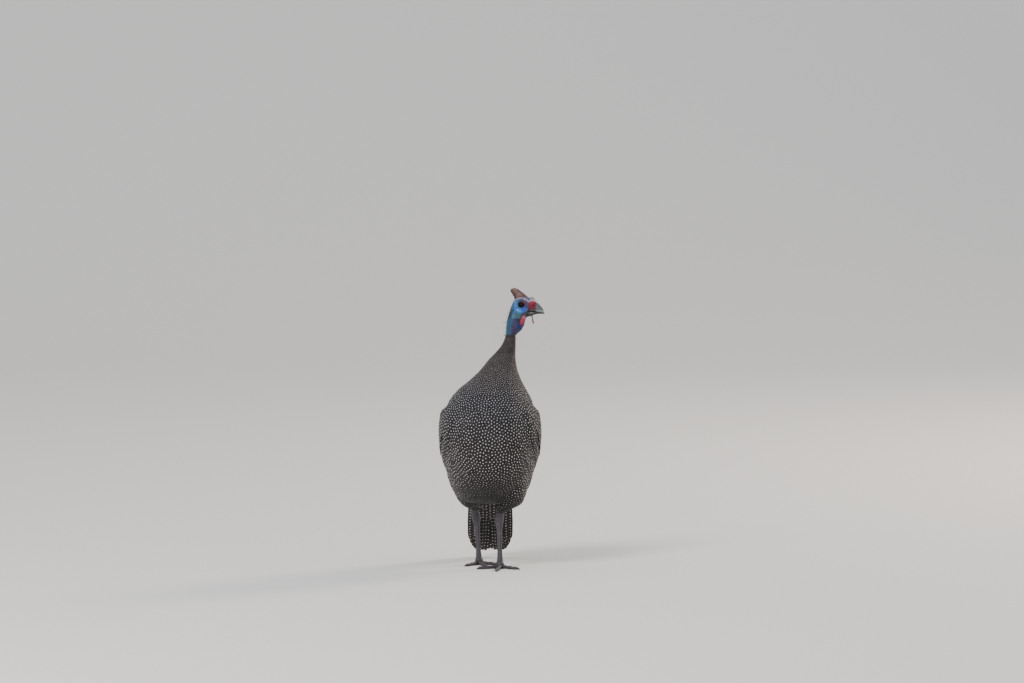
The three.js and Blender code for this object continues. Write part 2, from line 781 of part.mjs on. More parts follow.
function billSolid(rows) {
  const stations = rows.map(([forward, top, bottom, half]) => ({
    at: vec(forward, 0, (top + bottom) / 2),
    half,
    deep: (top - bottom) / 2,
    along: vec(1, 0, 0),
    depthWay: vec(0, 0, 1),
  }));
  return limb(stations, 14);
}

function bill() {
  const upper = billSolid(UPPER_BILL);
  const grown = billSolid(UPPER_BILL.map(([f, t, b, h]) => [f, t + GAP, b - GAP, h + GAP]));
  const lower = billSolid(LOWER_BILL).subtract(grown).subtract(cereSolid(GAP)).subtract(headClear);
  return [node("bill_upper", upper, billHorn), node("bill_lower", lower, billHorn)];
}

// Wattles that hang from the corners of the mouth, each a flap with a thick root.
const WATTLES = {
  left: { root: [12.5, 9.5, -18], tip: [14.5, 14, -36], wide: 3.6, broad: [0.3, -0.95, 0] },
  right: { root: [7.5, -11.5, -17], tip: [0, -14.6, -36.4], wide: 4.6, broad: [1, 0, 0] },
};

function wattle([side]) {
  const { root, tip, wide, broad } = WATTLES[side];
  const [from, to] = [vec(...root), vec(...tip)];
  const along = to.clone().sub(from).normalize();
  const stations = [
    [-0.1, 0.62, 1.9],
    [0.15, 0.72, 1.6],
    [0.4, 0.86, 1.1],
    [0.62, 1, 1.15],
    [0.82, 0.96, 1.5],
    [0.95, 0.6, 1.2],
    [1.02, 0.2, 0.5],
  ].map(([t, share, thick]) => ({
    at: from.clone().lerp(to, t),
    half: thick,
    deep: wide * share,
    along,
    depthWay: vec(...broad),
  }));
  const lowerBill = billSolid(LOWER_BILL.map(([f, t, b, h]) => [f, t + GAP, b - GAP, h + GAP]));
  const clear = join([headClear, cereSolid(GAP), lowerBill]);
  return node(`wattle_${side}`, limb(stations, 10).subtract(clear), redSkin);
}

const headGroup = new THREE.Group();
headGroup.position.set(EYE_LEVEL.forward, EYE_LEVEL.left, EYE_LEVEL.height);
headGroup.rotation.z = HEAD_TURN;
headGroup.add(head(), cere(), helmet(), ...bill(), ...EYES.map(eye), ...EYES.map(wattle));

const bird = new THREE.Group();
bird.rotation.z = -Math.PI / 2;
bird.add(torso(), neck(), headGroup, wing(1), wing(-1), tail());
Object.entries(FEET).forEach(([side, place]) => {
  bird.add(thigh(side, place), shank(side, place), ...foot(side, place));
});

// The origin lies on the floor under the middle of the bird's box.
bird.updateMatrixWorld(true);
const middle = new THREE.Box3().setFromObject(bird, true).getCenter(new THREE.Vector3());
const model = new THREE.Group();
model.position.set(-middle.x, -middle.y, 0);
model.add(bird);

export default model;
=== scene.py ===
import itertools
import math

import bpy
import numpy as np
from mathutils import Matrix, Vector
from mathutils.bvhtree import BVHTree
from mathutils.kdtree import KDTree


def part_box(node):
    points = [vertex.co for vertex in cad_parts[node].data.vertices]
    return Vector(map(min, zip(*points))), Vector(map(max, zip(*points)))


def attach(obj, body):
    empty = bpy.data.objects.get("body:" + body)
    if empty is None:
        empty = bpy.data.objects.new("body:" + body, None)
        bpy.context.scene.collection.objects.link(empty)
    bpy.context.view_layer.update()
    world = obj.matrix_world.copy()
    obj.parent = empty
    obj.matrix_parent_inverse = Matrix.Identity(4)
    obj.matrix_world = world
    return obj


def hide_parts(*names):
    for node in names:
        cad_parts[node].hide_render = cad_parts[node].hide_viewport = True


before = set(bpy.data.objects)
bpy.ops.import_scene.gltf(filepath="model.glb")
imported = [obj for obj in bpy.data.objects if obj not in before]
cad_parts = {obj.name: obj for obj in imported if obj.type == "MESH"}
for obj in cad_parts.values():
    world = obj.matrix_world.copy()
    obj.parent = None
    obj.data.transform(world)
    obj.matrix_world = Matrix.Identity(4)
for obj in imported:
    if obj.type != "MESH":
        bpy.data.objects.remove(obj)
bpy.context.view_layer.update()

# A helmeted guinea fowl standing alert, life size. Shapes are worked out in millimetres on a bird that
# faces +X with its left side towards +Y. Each mesh is put in metres, in the frame of the solids, when made.
MM = 0.001
DRAWS = np.random.default_rng(11)

# Named sizes, the same as those of the solids
EYE_LEVEL = np.array([36.0, 60.0, 480.0])
HEAD_TURN = math.radians(72)
HOCK_HEIGHT = 84
FEET = {
    "left": {"forward": 10, "side": 18, "back": 13, "out": -1.5,
             "toes": {"inner": -62, "middle": -7, "outer": 50, "hind": -168}},
    "right": {"forward": -50, "side": -20, "back": 8, "out": -5,
              "toes": {"inner": 66, "middle": 15, "outer": -34, "hind": 172}},
}
SIDES = {"left": 1, "right": -1}
WRIST_HEIGHT = 284
WRIST_TURN = math.radians(62)
WING_SLANT = math.radians(33)
WING_BEND = math.radians(24 / 230)
TAIL_ROOT = np.array([-112.0, 0.0, 152.0])
TAIL_DROOP = math.radians(62)
TAIL_DOWN = np.array([-math.cos(TAIL_DROOP), 0.0, -math.sin(TAIL_DROOP)])
TAIL_OUT = np.array([-math.sin(TAIL_DROOP), 0.0, math.cos(TAIL_DROOP)])

# Slices of the body from the belly up: height, back, front, half width and shift to the left
BODY_ROWS = [
    [112, -40, -38, 0, 0], [115, -68, -2, 36, 0], [125, -98, 34, 56, 0], [144, -120, 62, 70, 0],
    [162, -128, 78, 76, 0], [180, -127, 89, 80, 0], [198, -122, 97, 82.5, 0], [216, -115, 102, 84.5, 0],
    [234, -107, 104, 85, 0], [252, -97, 103, 85, 0], [270, -86, 100, 83.5, 0], [288, -73, 95, 80, 0],
    [306, -58, 87, 74, 1.5], [324, -42, 78, 62.5, 4], [342, -26, 68, 47, 10], [360, -11, 58, 34, 16],
    [378, 2, 50, 25, 21.5], [390, 9, 45, 19, 27], [405, 15, 41, 13, 33.5], [421, 18.5, 38.5, 10, 37],
    [437, 20, 38, 9.5, 40],
]

# Slices of the bare head and upper neck, in the same order, measured from the point between the eyes
HEAD_ROWS = [
    [-68, -37, -19.5, 9, 0], [-60, -34.4, -18.6, 9.6, 0], [-54, -33, -10.6, 10.4, 0],
    [-47, -32.6, -4, 11, 0], [-39, -32, 0.8, 11.5, 0], [-31, -30.8, 2.8, 12.1, 0],
    [-24, -28.6, 5.6, 13, 0], [-17, -26.5, 12, 13.8, 0], [-10, -24.2, 17, 14.5, 0],
    [-3, -21.8, 18, 14.6, 0], [3, -19.2, 17.5, 13.7, 0], [8.4, -16.6, 15.5, 11.4, 0],
    [12, -11, 12, 7.4, 0], [13.8, -1, 1, 0, 0],
]


def smooth(low, high, value):
    t = np.clip((value - low) / (high - low), 0, 1)
    return t * t * (3 - 2 * t)


def bell(distance, width):
    return np.exp(-(distance / width) ** 2)


def unit(vectors):
    return vectors / np.maximum(np.linalg.norm(vectors, axis=-1, keepdims=True), 1e-9)


def read_rows(rows, at):
    """Row tables are read on a smooth curve that passes through every row."""
    rows = np.asarray(rows, float)
    at = np.asarray(at, float)
    last = len(rows) - 1
    i = np.clip(np.floor(at).astype(int), 0, last - 1)
    t = (at - i)[..., None]
    p, a, b, q = (rows[np.clip(i + step, 0, last)] for step in (-1, 0, 1, 2))
    slope_a, slope_b, rise = (b - p) / 2, (q - a) / 2, b - a
    return a + t * (slope_a + t * (3 * rise - 2 * slope_a - slope_b + t * (slope_a + slope_b - 2 * rise)))


def even_rows(rows, count):
    """A row table read at even steps from its first row to its last."""
    return read_rows(rows, np.linspace(0, len(rows) - 1, count))


def full_turn(sides):
    """Even steps round a full turn."""
    return np.linspace(0, 2 * math.pi, sides, endpoint=False)


class Skin:
    """A skin round a stack of egg-shaped slices, reached by a row number and an angle from the front."""

    def __init__(self, rows, egg):
        self.rows = np.asarray(rows, float)
        self.egg = egg
        self.last = len(rows) - 1

    def base(self, row, angle):
        height, back, front, half, shift = np.moveaxis(read_rows(self.rows, row), -1, 0)
        c, s = np.cos(angle), np.sin(angle)
        forward = (front + back) / 2 + (front - back) / 2 * c
        return np.stack([forward, shift + half * s * (1 + self.egg * c), height + 0 * c], -1)

    def frame(self, row, angle):
        step = 0.02
        inside = np.clip(row, 3 * step, self.last - 3 * step)
        up = (self.base(inside + step, angle) - self.base(inside - step, angle)) / (2 * step)
        round_ = (self.base(inside, angle + step) - self.base(inside, angle - step)) / (2 * step)
        return up, round_, unit(np.cross(round_, up))

    def point(self, row, angle, out=0.0):
        return self.base(row, angle) + self.frame(row, angle)[2] * np.asarray(out)[..., None]

    def row_at(self, height):
        dense = np.linspace(0, self.last, 4000)
        return np.interp(height, read_rows(self.rows, dense)[:, 0], dense)

    def walk(self, row, angle, bearing, distance, steps=4, bend=0.0):
        """The row and angle reached by going a distance along the skin, at a bearing from straight down."""
        for i in range(steps):
            heading = bearing + bend * distance * (i + 0.5) / steps
            up, round_, out = self.frame(row, angle)
            down = -unit(up)
            go = down * np.cos(heading)[..., None] + np.cross(down, out) * np.sin(heading)[..., None]
            uu, ur, rr = (up * up).sum(-1), (up * round_).sum(-1), (round_ * round_).sum(-1)
            gu, gr = (go * up).sum(-1), (go * round_).sum(-1)
            size = distance / steps / (uu * rr - ur * ur)
            row = np.clip(row + size * (gu * rr - gr * ur), 0.2, self.last - 0.01)
            angle = angle + size * (gr * uu - gu * ur)
        return row, angle


body = Skin(BODY_ROWS, 0.06)
head_skin = Skin(HEAD_ROWS, 0.1)

# Where the origin of the bird's own measures lies on the floor, taken from the pad of the left foot
low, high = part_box("foot_left")
FLOOR_SHIFT = np.array([(low.x + high.x) / 2 / MM - FEET["left"]["side"],
                        (low.y + high.y) / 2 / MM + FEET["left"]["forward"]])


def to_frame(points):
    points = np.asarray(points, float)
    placed = [points[..., 1] + FLOOR_SHIFT[0], -points[..., 0] + FLOOR_SHIFT[1], points[..., 2]]
    return np.stack(placed, -1) * MM


def from_head(points):
    """Turns points that are measured from between the eyes into points of the bird."""
    points = np.asarray(points, float)
    c, s = math.cos(HEAD_TURN), math.sin(HEAD_TURN)
    x, y = points[..., 0], points[..., 1]
    return np.stack([x * c - y * s, x * s + y * c, points[..., 2]], -1) + EYE_LEVEL


def to_head(points):
    points = np.asarray(points, float) - EYE_LEVEL
    c, s = math.cos(HEAD_TURN), math.sin(HEAD_TURN)
    x, y = points[..., 0], points[..., 1]
    return np.stack([x * c + y * s, -x * s + y * c, points[..., 2]], -1)


# Meshes
def mesh_object(name, points, face_sets, finish=None, maps=None, colours=None):
    """A mesh of quads and triangles, with UV maps and point colours given for each point."""
    mesh = bpy.data.meshes.new(name)
    corners = np.concatenate([np.asarray(faces).ravel() for faces in face_sets]).astype(np.int32)
    sizes = np.concatenate([np.full(len(faces), np.asarray(faces).shape[1]) for faces in face_sets])
    starts = np.concatenate([[0], np.cumsum(sizes)[:-1]]).astype(np.int32)
    mesh.vertices.add(len(points))
    mesh.vertices.foreach_set("co", to_frame(points).astype(np.float32).ravel())
    mesh.loops.add(len(corners))
    mesh.loops.foreach_set("vertex_index", corners)
    mesh.polygons.add(len(sizes))
    mesh.polygons.foreach_set("loop_start", starts)
    mesh.polygons.foreach_set("use_smooth", np.ones(len(sizes), bool))
    mesh.update(calc_edges=True)
    for label, places in (maps or {}).items():
        layer = mesh.uv_layers.new(name=label)
        layer.data.foreach_set("uv", np.asarray(places, np.float32)[corners].ravel())
    for label, shades in (colours or {}).items():
        layer = mesh.color_attributes.new(name=label, type="FLOAT_COLOR", domain="POINT")
        rgba = np.ones((len(points), 4), np.float32)
        rgba[:, :3] = shades
        layer.data.foreach_set("color", rgba.ravel())
    made = bpy.data.objects.new(name, mesh)
    bpy.context.scene.collection.objects.link(made)
    if finish is not None:
        mesh.materials.append(finish)
    return made


def ring_faces(rings, sides):
    """Quads between rings of points, and a fan over each end round one more point."""
    i = np.arange(rings - 1)[:, None] * sides
    j = np.arange(sides)[None, :]
    k = (j + 1) % sides
    quads = np.stack([i + j, i + k, i + sides + k, i + sides + j], -1).reshape(-1, 4)
    j = np.arange(sides)
    k = (j + 1) % sides
    top = (rings - 1) * sides
    first = np.stack([np.full(sides, rings * sides), k, j], -1)
    last = np.stack([np.full(sides, rings * sides + 1), top + j, top + k], -1)
    return [quads, np.concatenate([first, last])]


def ring_points(grid):
    ends = np.stack([grid[0].mean(0), grid[-1].mean(0)])
    return np.concatenate([grid.reshape(-1, 3), ends])


def gathered(grids):
    """Many closed grids of rings in one set of points, with their quads and the fans over their ends."""
    points, quads, fans, count = [], [], [], 0
    for grid in grids:
        four, three = ring_faces(*grid.shape[:2])
        points.append(ring_points(grid))
        quads.append(four + count)
        fans.append(three + count)
        count += len(points[-1])
    return np.concatenate(points), [np.concatenate(quads), np.concatenate(fans)]


def ring_normals(grid):
    around = np.roll(grid, -1, 1) - np.roll(grid, 1, 1)
    along = np.gradient(grid, axis=0)
    normals = unit(np.cross(around, along))
    away = grid - grid.mean(1, keepdims=True)
    return normals * np.sign((normals * away).sum())


def limb_grid(at, half, deep, along, depth_way, sides):
    """Rings of points round a path, with half widths and half depths."""
    along = np.broadcast_to(np.asarray(along, float), at.shape)
    across = unit(np.cross(along, np.asarray(depth_way, float)))
    depth = unit(np.cross(across, along))
    angle = full_turn(sides)[None, :, None]
    half, deep = np.asarray(half)[:, None, None], np.asarray(deep)[:, None, None]
    return at[:, None] + depth[:, None] * deep * np.cos(angle) - across[:, None] * half * np.sin(angle)


def evaluated(thing):
    """The points and triangles of an object with its modifiers, in the bird's own measures."""
    shape = thing.evaluated_get(bpy.context.evaluated_depsgraph_get())
    mesh = shape.to_mesh()
    mesh.calc_loop_triangles()
    points = np.zeros(len(mesh.vertices) * 3, np.float32)
    mesh.vertices.foreach_get("co", points)
    triangles = np.zeros(len(mesh.loop_triangles) * 3, np.int32)
    mesh.loop_triangles.foreach_get("vertices", triangles)
    shape.to_mesh_clear()
    points = points.reshape(-1, 3).astype(float) / MM
    placed = np.stack([FLOOR_SHIFT[1] - points[:, 1], points[:, 0] - FLOOR_SHIFT[0], points[:, 2]], -1)
    return placed, triangles.reshape(-1, 3)


# Surface finishes from nodes
class Finish:
    def __init__(self, name, **fixed):
        self.material = bpy.data.materials.new(name)
        self.material.use_nodes = True
        self.nodes = self.material.node_tree.nodes
        self.links = self.material.node_tree.links
        self.shader = self.nodes["Principled BSDF"]
        for label, value in fixed.items():
            self.shader.inputs[label.replace("_", " ")].default_value = value

    def feed(self, socket, value):
        if isinstance(value, bpy.types.NodeSocket):
            self.links.new(value, socket)
        else:
            socket.default_value = value

    def add(self, kind, inputs=(), **settings):
        node = self.nodes.new(kind)
        for key, value in settings.items():
            setattr(node, key, value)
        for key, value in dict(inputs).items():
            self.feed(node.inputs[key], value)
        return node

    def place(self):
        return self.add("ShaderNodeTexCoord").outputs["Object"]

    def stretched(self, scale, vector=None):
        inputs = {"Vector": vector or self.place(), "Scale": scale}
        return self.add("ShaderNodeMapping", inputs).outputs[0]

    def maths(self, operation, *values):
        return self.add("ShaderNodeMath", enumerate(values), operation=operation).outputs[0]

    def noise(self, scale, detail=3.0, vector=None, twist=0.0):
        inputs = {"Vector": vector or self.place(), "Scale": scale, "Detail": detail, "Distortion": twist}
        return self.add("ShaderNodeTexNoise", inputs).outputs[0]

    def cells(self, scale, vector=None, feature="DISTANCE_TO_EDGE"):
        inputs = {"Vector": vector or self.place(), "Scale": scale}
        return self.add("ShaderNodeTexVoronoi", inputs, feature=feature).outputs[0]

    def span(self, value, low, high, to_low=0.0, to_high=1.0):
        inputs = {"Value": value, "From Min": low, "From Max": high, "To Min": to_low, "To Max": to_high}
        return self.add("ShaderNodeMapRange", inputs).outputs[0]

    def blend(self, share, first, second):
        node = self.add("ShaderNodeMix", data_type="RGBA")
        for index, value in ((0, share), (6, first), (7, second)):
            self.feed(node.inputs[index], value)
        return node.outputs[2]

    def tint(self, label):
        return self.add("ShaderNodeAttribute", attribute_name=label)

    def split(self, vector):
        return self.add("ShaderNodeSeparateXYZ", {"Vector": vector}).outputs

    def done(self, colour=None, roughness=None, height=None, deep=0.0002, strength=0.6):
        if colour is not None:
            self.feed(self.shader.inputs["Base Color"], colour)
        if roughness is not None:
            self.feed(self.shader.inputs["Roughness"], roughness)
        if height is not None:
            inputs = {"Height": height, "Distance": deep, "Strength": strength}
            bump = self.add("ShaderNodeBump", inputs)
            self.feed(self.shader.inputs["Normal"], bump.outputs[0])
        return self.material


def rgb(*parts):
    return (*parts, 1.0)


BARBS = 190


def plumage_finish(name):
    """Feathers: shaft, slanting barbs and fine wavy bars. Point colour: tone, neck and blue; painted shade
    below lowers tone and blue.
    """
    made = Finish(name, Sheen_Weight=0.04, Sheen_Roughness=0.4, Specular_IOR_Level=0.24)
    tone_and_shade, neck, blue_and_shade = made.split(made.tint("tone_and_shade").outputs["Vector"])
    u, v, _ = made.split(made.add("ShaderNodeUVMap", uv_map="Vane").outputs[0])
    side = made.maths("ABSOLUTE", made.maths("SUBTRACT", u, 0.5))
    slant = made.maths("SUBTRACT", v, made.maths("MULTIPLY", side, 0.7))
    barbs = made.maths("SINE", made.maths("MULTIPLY", slant, BARBS))
    shaft = made.span(side, 0.0, 0.035, 1.0, 0.0)
    patch = made.noise(190.0, 2.0)
    wavy = made.noise(1.0, 2.0, made.stretched((560, 560, 1500)), 0.9)
    bars = made.span(wavy, 0.5, 0.56)
    dark = made.blend(tone_and_shade, rgb(0.0075, 0.0062, 0.007), rgb(0.018, 0.0145, 0.016))
    pale = made.blend(blue_and_shade, rgb(0.05, 0.045, 0.047), rgb(0.07, 0.083, 0.125))
    # Painted shade: where blue is below zero, on the underside, the pale bars fade out.
    ground = made.blend(made.maths("MULTIPLY", bars, made.span(blue_and_shade, -1, 0, 0.04, 0.5)), dark, pale)
    brown = made.blend(bars, rgb(0.02, 0.0155, 0.0165), rgb(0.088, 0.070, 0.070))
    coat = made.blend(neck, ground, brown)
    coat = made.blend(made.maths("MULTIPLY", patch, 0.35), coat, rgb(0.02, 0.018, 0.02))
    coat = made.blend(made.maths("MULTIPLY", shaft, 0.35), coat, rgb(0.12, 0.10, 0.09))
    rough = made.span(barbs, -1, 1, 0.46, 0.66)
    return made.done(coat, rough, barbs, 0.00012, 0.5)


def spot_finish(name):
    made = Finish(name, Sheen_Weight=0.2, Specular_IOR_Level=0.25)
    soft = made.noise(900.0, 3.0)
    colour = made.blend(soft, rgb(0.52, 0.49, 0.48), rgb(0.82, 0.8, 0.78))
    return made.done(colour, made.span(soft, 0, 1, 0.6, 0.85), soft, 0.00008, 0.4)


PLUMAGE = plumage_finish("plumage")
SPOTS = spot_finish("pale_spots")

# The flesh under the coat, built a little inside the solids so that the coat ends where they end
COAT_DEPTH = 2.0
COAT_LOW, COAT_HIGH = 97, 424
FORM_VOXEL = 1.7 * MM
FORM_TOP = 430


def coat_depth(height):
    return COAT_DEPTH - 1.1 * smooth(325, 385, height)


def thigh_stations(side):
    foot = FEET[side]
    way = SIDES[side]
    hock = [foot["forward"] - foot["back"], foot["side"] + foot["out"]]
    forward = foot["forward"]
    rows = np.array([
        [190, forward * 0.4 + 8, 44 * way, 26, 34],
        [160, forward * 0.5 + 8, 42 * way, 27, 36],
        [136, forward * 0.6 + 4, 39 * way, 26, 31],
        [118, forward * 0.8 - 2, 36 * way, 21, 22],
        [108, hock[0] + 8, hock[1] + 9 * way, 15, 15.5],
        [100.3, hock[0] + 4, hock[1] + 3 * way, 8.8, 9.6],
    ])
    return even_rows(rows, 40)


def thigh_grid(side, inset):
    height, forward, left, half, deep = thigh_stations(side).T
    at = np.stack([forward, left, height], -1)
    return limb_grid(at, half - inset, deep - inset, [0, 0, -1], [1, 0, 0], 48)


def on_tail(along, across, lift):
    along, across, lift = np.broadcast_arrays(along, across, lift)
    flat = TAIL_ROOT + TAIL_DOWN * along[..., None] + TAIL_OUT * lift[..., None]
    return flat + np.array([0.0, 1.0, 0.0]) * across[..., None]


# Slices of the flesh of the tail: distance along, half width, half depth and lift
TAIL_CORE = [[-34, 30, 18, 0], [-8, 38, 20, -2], [18, 39, 16, -4.5], [42, 36, 9.4, -4.4], [62, 30, 3, -3.4]]


def tail_core_grid(inset):
    along, half, deep, lift = even_rows(TAIL_CORE, 24).T
    deep = np.maximum(deep - inset, 1)
    return limb_grid(on_tail(along, 0.0, lift), half - inset, deep, TAIL_DOWN, TAIL_OUT, 40)


def on_wing(side, along, across, lift):
    """A place on a folded wing: how far from the wrist, how far up across it, and how far off the body."""
    along, across, lift = np.broadcast_arrays(np.asarray(along, float), across, lift)
    row = np.full(along.shape, body.row_at(WRIST_HEIGHT))
    angle = np.full(along.shape, side * WRIST_TURN)
    slant = np.full(along.shape, -side * WING_SLANT)
    row, angle = body.walk(row, angle, slant, along, 8, -side * WING_BEND)
    upward = -side * (WING_SLANT + WING_BEND * along + math.pi / 2)
    row, angle = body.walk(row, angle, upward, across, 3)
    return body.point(row, angle, lift)


# Slices of the flesh of the wing: distance along, lower edge, upper edge and depth
WING_CORE = [[-14, -12, 11, 1.2], [0, -22, 21, 4.6], [22, -34, 33, 6.4], [55, -38, 41, 5.8],
             [95, -37, 44, 3.8], [130, -32, 40, 2.6], [158, -24, 30, 1.6]]


def wing_core_grid(side, inset):
    along, low, high, depth = even_rows(WING_CORE, 30).T
    share = np.linspace(0, 1, 14)[None, :]
    across = low[:, None] + (high - low)[:, None] * share
    bulk = depth[:, None] * np.sin(math.pi * (0.06 + 0.88 * share)) ** 0.6 - 1.0 - inset
    outer = on_wing(side, along[:, None] + 0 * share, across, bulk)
    inner = on_wing(side, along[:, None] + 0 * share, across, -6 + 0 * bulk)
    return np.concatenate([outer, inner[:, ::-1]], 1)


def torso_grid(rows, sides, inset):
    angle = full_turn(sides)
    row, angle = np.meshgrid(rows, angle, indexing="ij")
    height = read_rows(BODY_ROWS, row)[..., 0]
    return body.point(row, angle, -coat_depth(height) - inset)


def form_grids(inset, highest):
    """Closed rings for neck, body, thighs, wings and rump."""
    torso = torso_grid(np.linspace(0.03, body.row_at(highest), 120), 96, inset)
    grids = [torso, tail_core_grid(1.5 + inset)]
    grids += [thigh_grid(side, 1.5 + inset) for side in SIDES]
    return grids + [wing_core_grid(way, inset) for way in SIDES.values()]


def joined_form(grids, voxel, rounds):
    """One smooth closed form made from overlapping closed rings."""
    rough = mesh_object("form", *gathered(grids))
    remesh = rough.modifiers.new("even", "REMESH")
    remesh.mode = "VOXEL"
    remesh.voxel_size = voxel
    ease = rough.modifiers.new("ease", "SMOOTH")
    ease.factor = 0.5
    ease.iterations = rounds
    points, triangles = evaluated(rough)
    bpy.data.objects.remove(rough)
    return points, triangles


FORM_POINTS, FORM_TRIANGLES = joined_form(form_grids(0, FORM_TOP), FORM_VOXEL, 12)
FORM_TREE = BVHTree.FromPolygons(FORM_POINTS.tolist(), FORM_TRIANGLES.tolist())


def on_form(points):
    """The nearest place on the form to each point, and the way out of it there."""
    flat = points.reshape(-1, 3)
    places = np.empty_like(flat)
    outs = np.empty_like(flat)
    for i, p in enumerate(flat.tolist()):
        hit = FORM_TREE.find_nearest(p)
        places[i] = hit[0]
        outs[i] = hit[1]
    return places.reshape(points.shape), outs.reshape(points.shape)


# Feathers
def outline(s, shape):
    return np.interp(s, [row[0] for row in shape], [row[1] for row in shape])


CONTOUR = [[0, 0.3], [0.2, 0.66], [0.45, 0.95], [0.65, 1], [0.82, 0.86], [0.93, 0.6], [1, 0.26]]
VANE = [[0, 0.55], [0.3, 0.9], [0.6, 1], [0.86, 0.93], [0.95, 0.75], [1, 0.42]]


def grid_normals(grid, out):
    normals = unit(np.cross(np.gradient(grid, axis=2), np.gradient(grid, axis=1)))
    facing = np.sign((normals * out[:, None, None]).sum(-1).sum((1, 2)))
    return normals * facing[:, None, None, None], facing


def sample(values, s, t):
    """Values on feather grids at shares s along and t across, both from 0 to 1, with one row a feather."""
    count, rows, columns = values.shape[:3]
    a, b = np.clip(s, 0, 0.9999) * (rows - 1), np.clip(t, 0, 0.9999) * (columns - 1)
    i, j = a.astype(int), b.astype(int)
    fa, fb = (a - i)[..., None], (b - j)[..., None]
    f = np.arange(count).reshape(-1, *([1] * (s.ndim - 1)))
    top = values[f, i, j] * (1 - fb) + values[f, i, j + 1] * fb
    low = values[f, i + 1, j] * (1 - fb) + values[f, i + 1, j + 1] * fb
    return top * (1 - fa) + low * fa


PATCH = 0.003
MAP_EDGE, MAP_HEIGHT = 0.02, 430
SPOT_SIDES = 8
SPOTS_LOW, SPOTS_HIGH = 98, 392
SPOT_TURNS = full_turn(SPOT_SIDES)

# Every feather grid, and whether the even scatter puts spots on it
COVER = []


def spot_mesh(name, discs, places, unwrap):
    """Thin discs, each with the points of its rim and one above and one below its middle."""
    turn = np.arange(SPOT_SIDES)
    after = (turn + 1) % SPOT_SIDES
    above, below = np.full(SPOT_SIDES, SPOT_SIDES), np.full(SPOT_SIDES, SPOT_SIDES + 1)
    fan = np.concatenate([np.stack([turn, after, above], -1), np.stack([after, turn, below], -1)])
    faces = fan[None] + (np.arange(len(discs)) * (SPOT_SIDES + 2))[:, None, None]
    ring = np.stack([np.cos(SPOT_TURNS), np.sin(SPOT_TURNS)], -1) * PATCH / 2
    patch = np.concatenate([ring, np.zeros((2, 2))])
    bake = (unwrap(places)[:, None] + patch[None]).reshape(-1, 2)
    return mesh_object(name, discs.reshape(-1, 3), [faces.reshape(-1, 3)], SPOTS, {"OFBake": bake})


class Coat:
    """Feathers as thin closed lenses, with their pale spots as thin discs on them."""

    def __init__(self):
        self.grids = []
        self.discs = []
        self.disc_roots = []

    def add(self, grid, out, thick, roots, shades, dotted):
        """Dotted feathers get their spots from the even scatter over the bird, and others have their own."""
        normals, facing = grid_normals(grid, out)
        self.grids.append((grid, normals, facing, thick, roots, shades))
        COVER.append((grid, dotted))
        return normals, facing

    def add_spots(self, grid, normals, s, t, along, across, roots):
        """Discs at shares s and t of each feather, with half sizes as shares too."""
        rim_s = s[..., None] + along[..., None] * np.cos(SPOT_TURNS)
        rim_t = t[..., None] + across[..., None] * np.sin(SPOT_TURNS)
        rim = sample(grid, rim_s, rim_t)
        middle = sample(grid, s, t)
        way = sample(normals, s, t)
        ends = np.stack([middle + way * 0.3, middle - way * 0.3], -2)
        discs = np.concatenate([rim + way[..., None, :] * 0.04, ends], -2)
        self.discs.append(discs.reshape(-1, SPOT_SIDES + 2, 3))
        self.disc_roots.append(np.repeat(roots, s.shape[1], 0))

    def build(self, name, unwrap):
        points, quads, maps, bakes, tones, count = [], [], [], [], [], 0
        for grid, normals, facing, thick, roots, shades in self.grids:
            feathers, rows, columns = grid.shape[:3]
            s = np.linspace(0, 1, rows)[:, None] + np.zeros(columns)
            t = np.zeros(rows)[:, None] + np.linspace(0, 1, columns)
            top = np.arange(rows * columns).reshape(rows, columns)
            under = top.copy()
            inner = (rows - 2) * (columns - 2)
            under[1:-1, 1:-1] = rows * columns + np.arange(inner).reshape(rows - 2, columns - 2)
            lower = grid[:, 1:-1, 1:-1] - normals[:, 1:-1, 1:-1] * thick
            made = np.concatenate([grid.reshape(feathers, -1, 3), lower.reshape(feathers, -1, 3)], 1)
            a, b, c, d = top[:-1, :-1], top[:-1, 1:], top[1:, 1:], top[1:, :-1]
            faces = [np.stack([a, b, c, d], -1).reshape(-1, 4)]
            a, b, c, d = under[:-1, :-1], under[:-1, 1:], under[1:, 1:], under[1:, :-1]
            faces.append(np.stack([d, c, b, a], -1).reshape(-1, 4))
            faces = np.concatenate(faces)
            each = made.shape[1]
            all_faces = faces[None] + (np.arange(feathers) * each)[:, None, None]
            flip = facing < 0
            all_faces[flip] = all_faces[flip][:, :, ::-1]
            quads.append(all_faces.reshape(-1, 4) + count)
            uv = np.stack([t, s], -1)
            uv = np.concatenate([uv.reshape(-1, 2), uv[1:-1, 1:-1].reshape(-1, 2)])
            maps.append(np.tile(uv, (feathers, 1)))
            place = unwrap(roots)[:, None] + (uv[None] - 0.5) * PATCH
            bakes.append(place.reshape(-1, 2))
            tones.append(np.repeat(shades, each, 0))
            points.append(made.reshape(-1, 3))
            count += feathers * each
        coat = mesh_object(name, np.concatenate(points), [np.concatenate(quads)], PLUMAGE,
                           {"OFBake": np.concatenate(bakes), "Vane": np.concatenate(maps)},
                           {"tone_and_shade": np.concatenate(tones)})
        made = [coat]
        if self.discs:
            roots = np.concatenate(self.disc_roots)
            made.append(spot_mesh(name + "_spots", np.concatenate(self.discs), roots, unwrap))
        for thing in made:
            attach(thing, "root")
        return made


def body_unwrap(places):
    """Unrolls the body round its upright middle line: the angle across, and the height up."""
    height = places[:, 2]
    rows = read_rows(BODY_ROWS, body.row_at(height))
    angle = np.arctan2(places[:, 1] - rows[:, 4], places[:, 0] - (rows[:, 1] + rows[:, 2]) / 2)
    turn = angle / (2 * math.pi) + 0.5
    return MAP_EDGE + (1 - 2 * MAP_EDGE) * np.stack([turn, height / MAP_HEIGHT], -1)


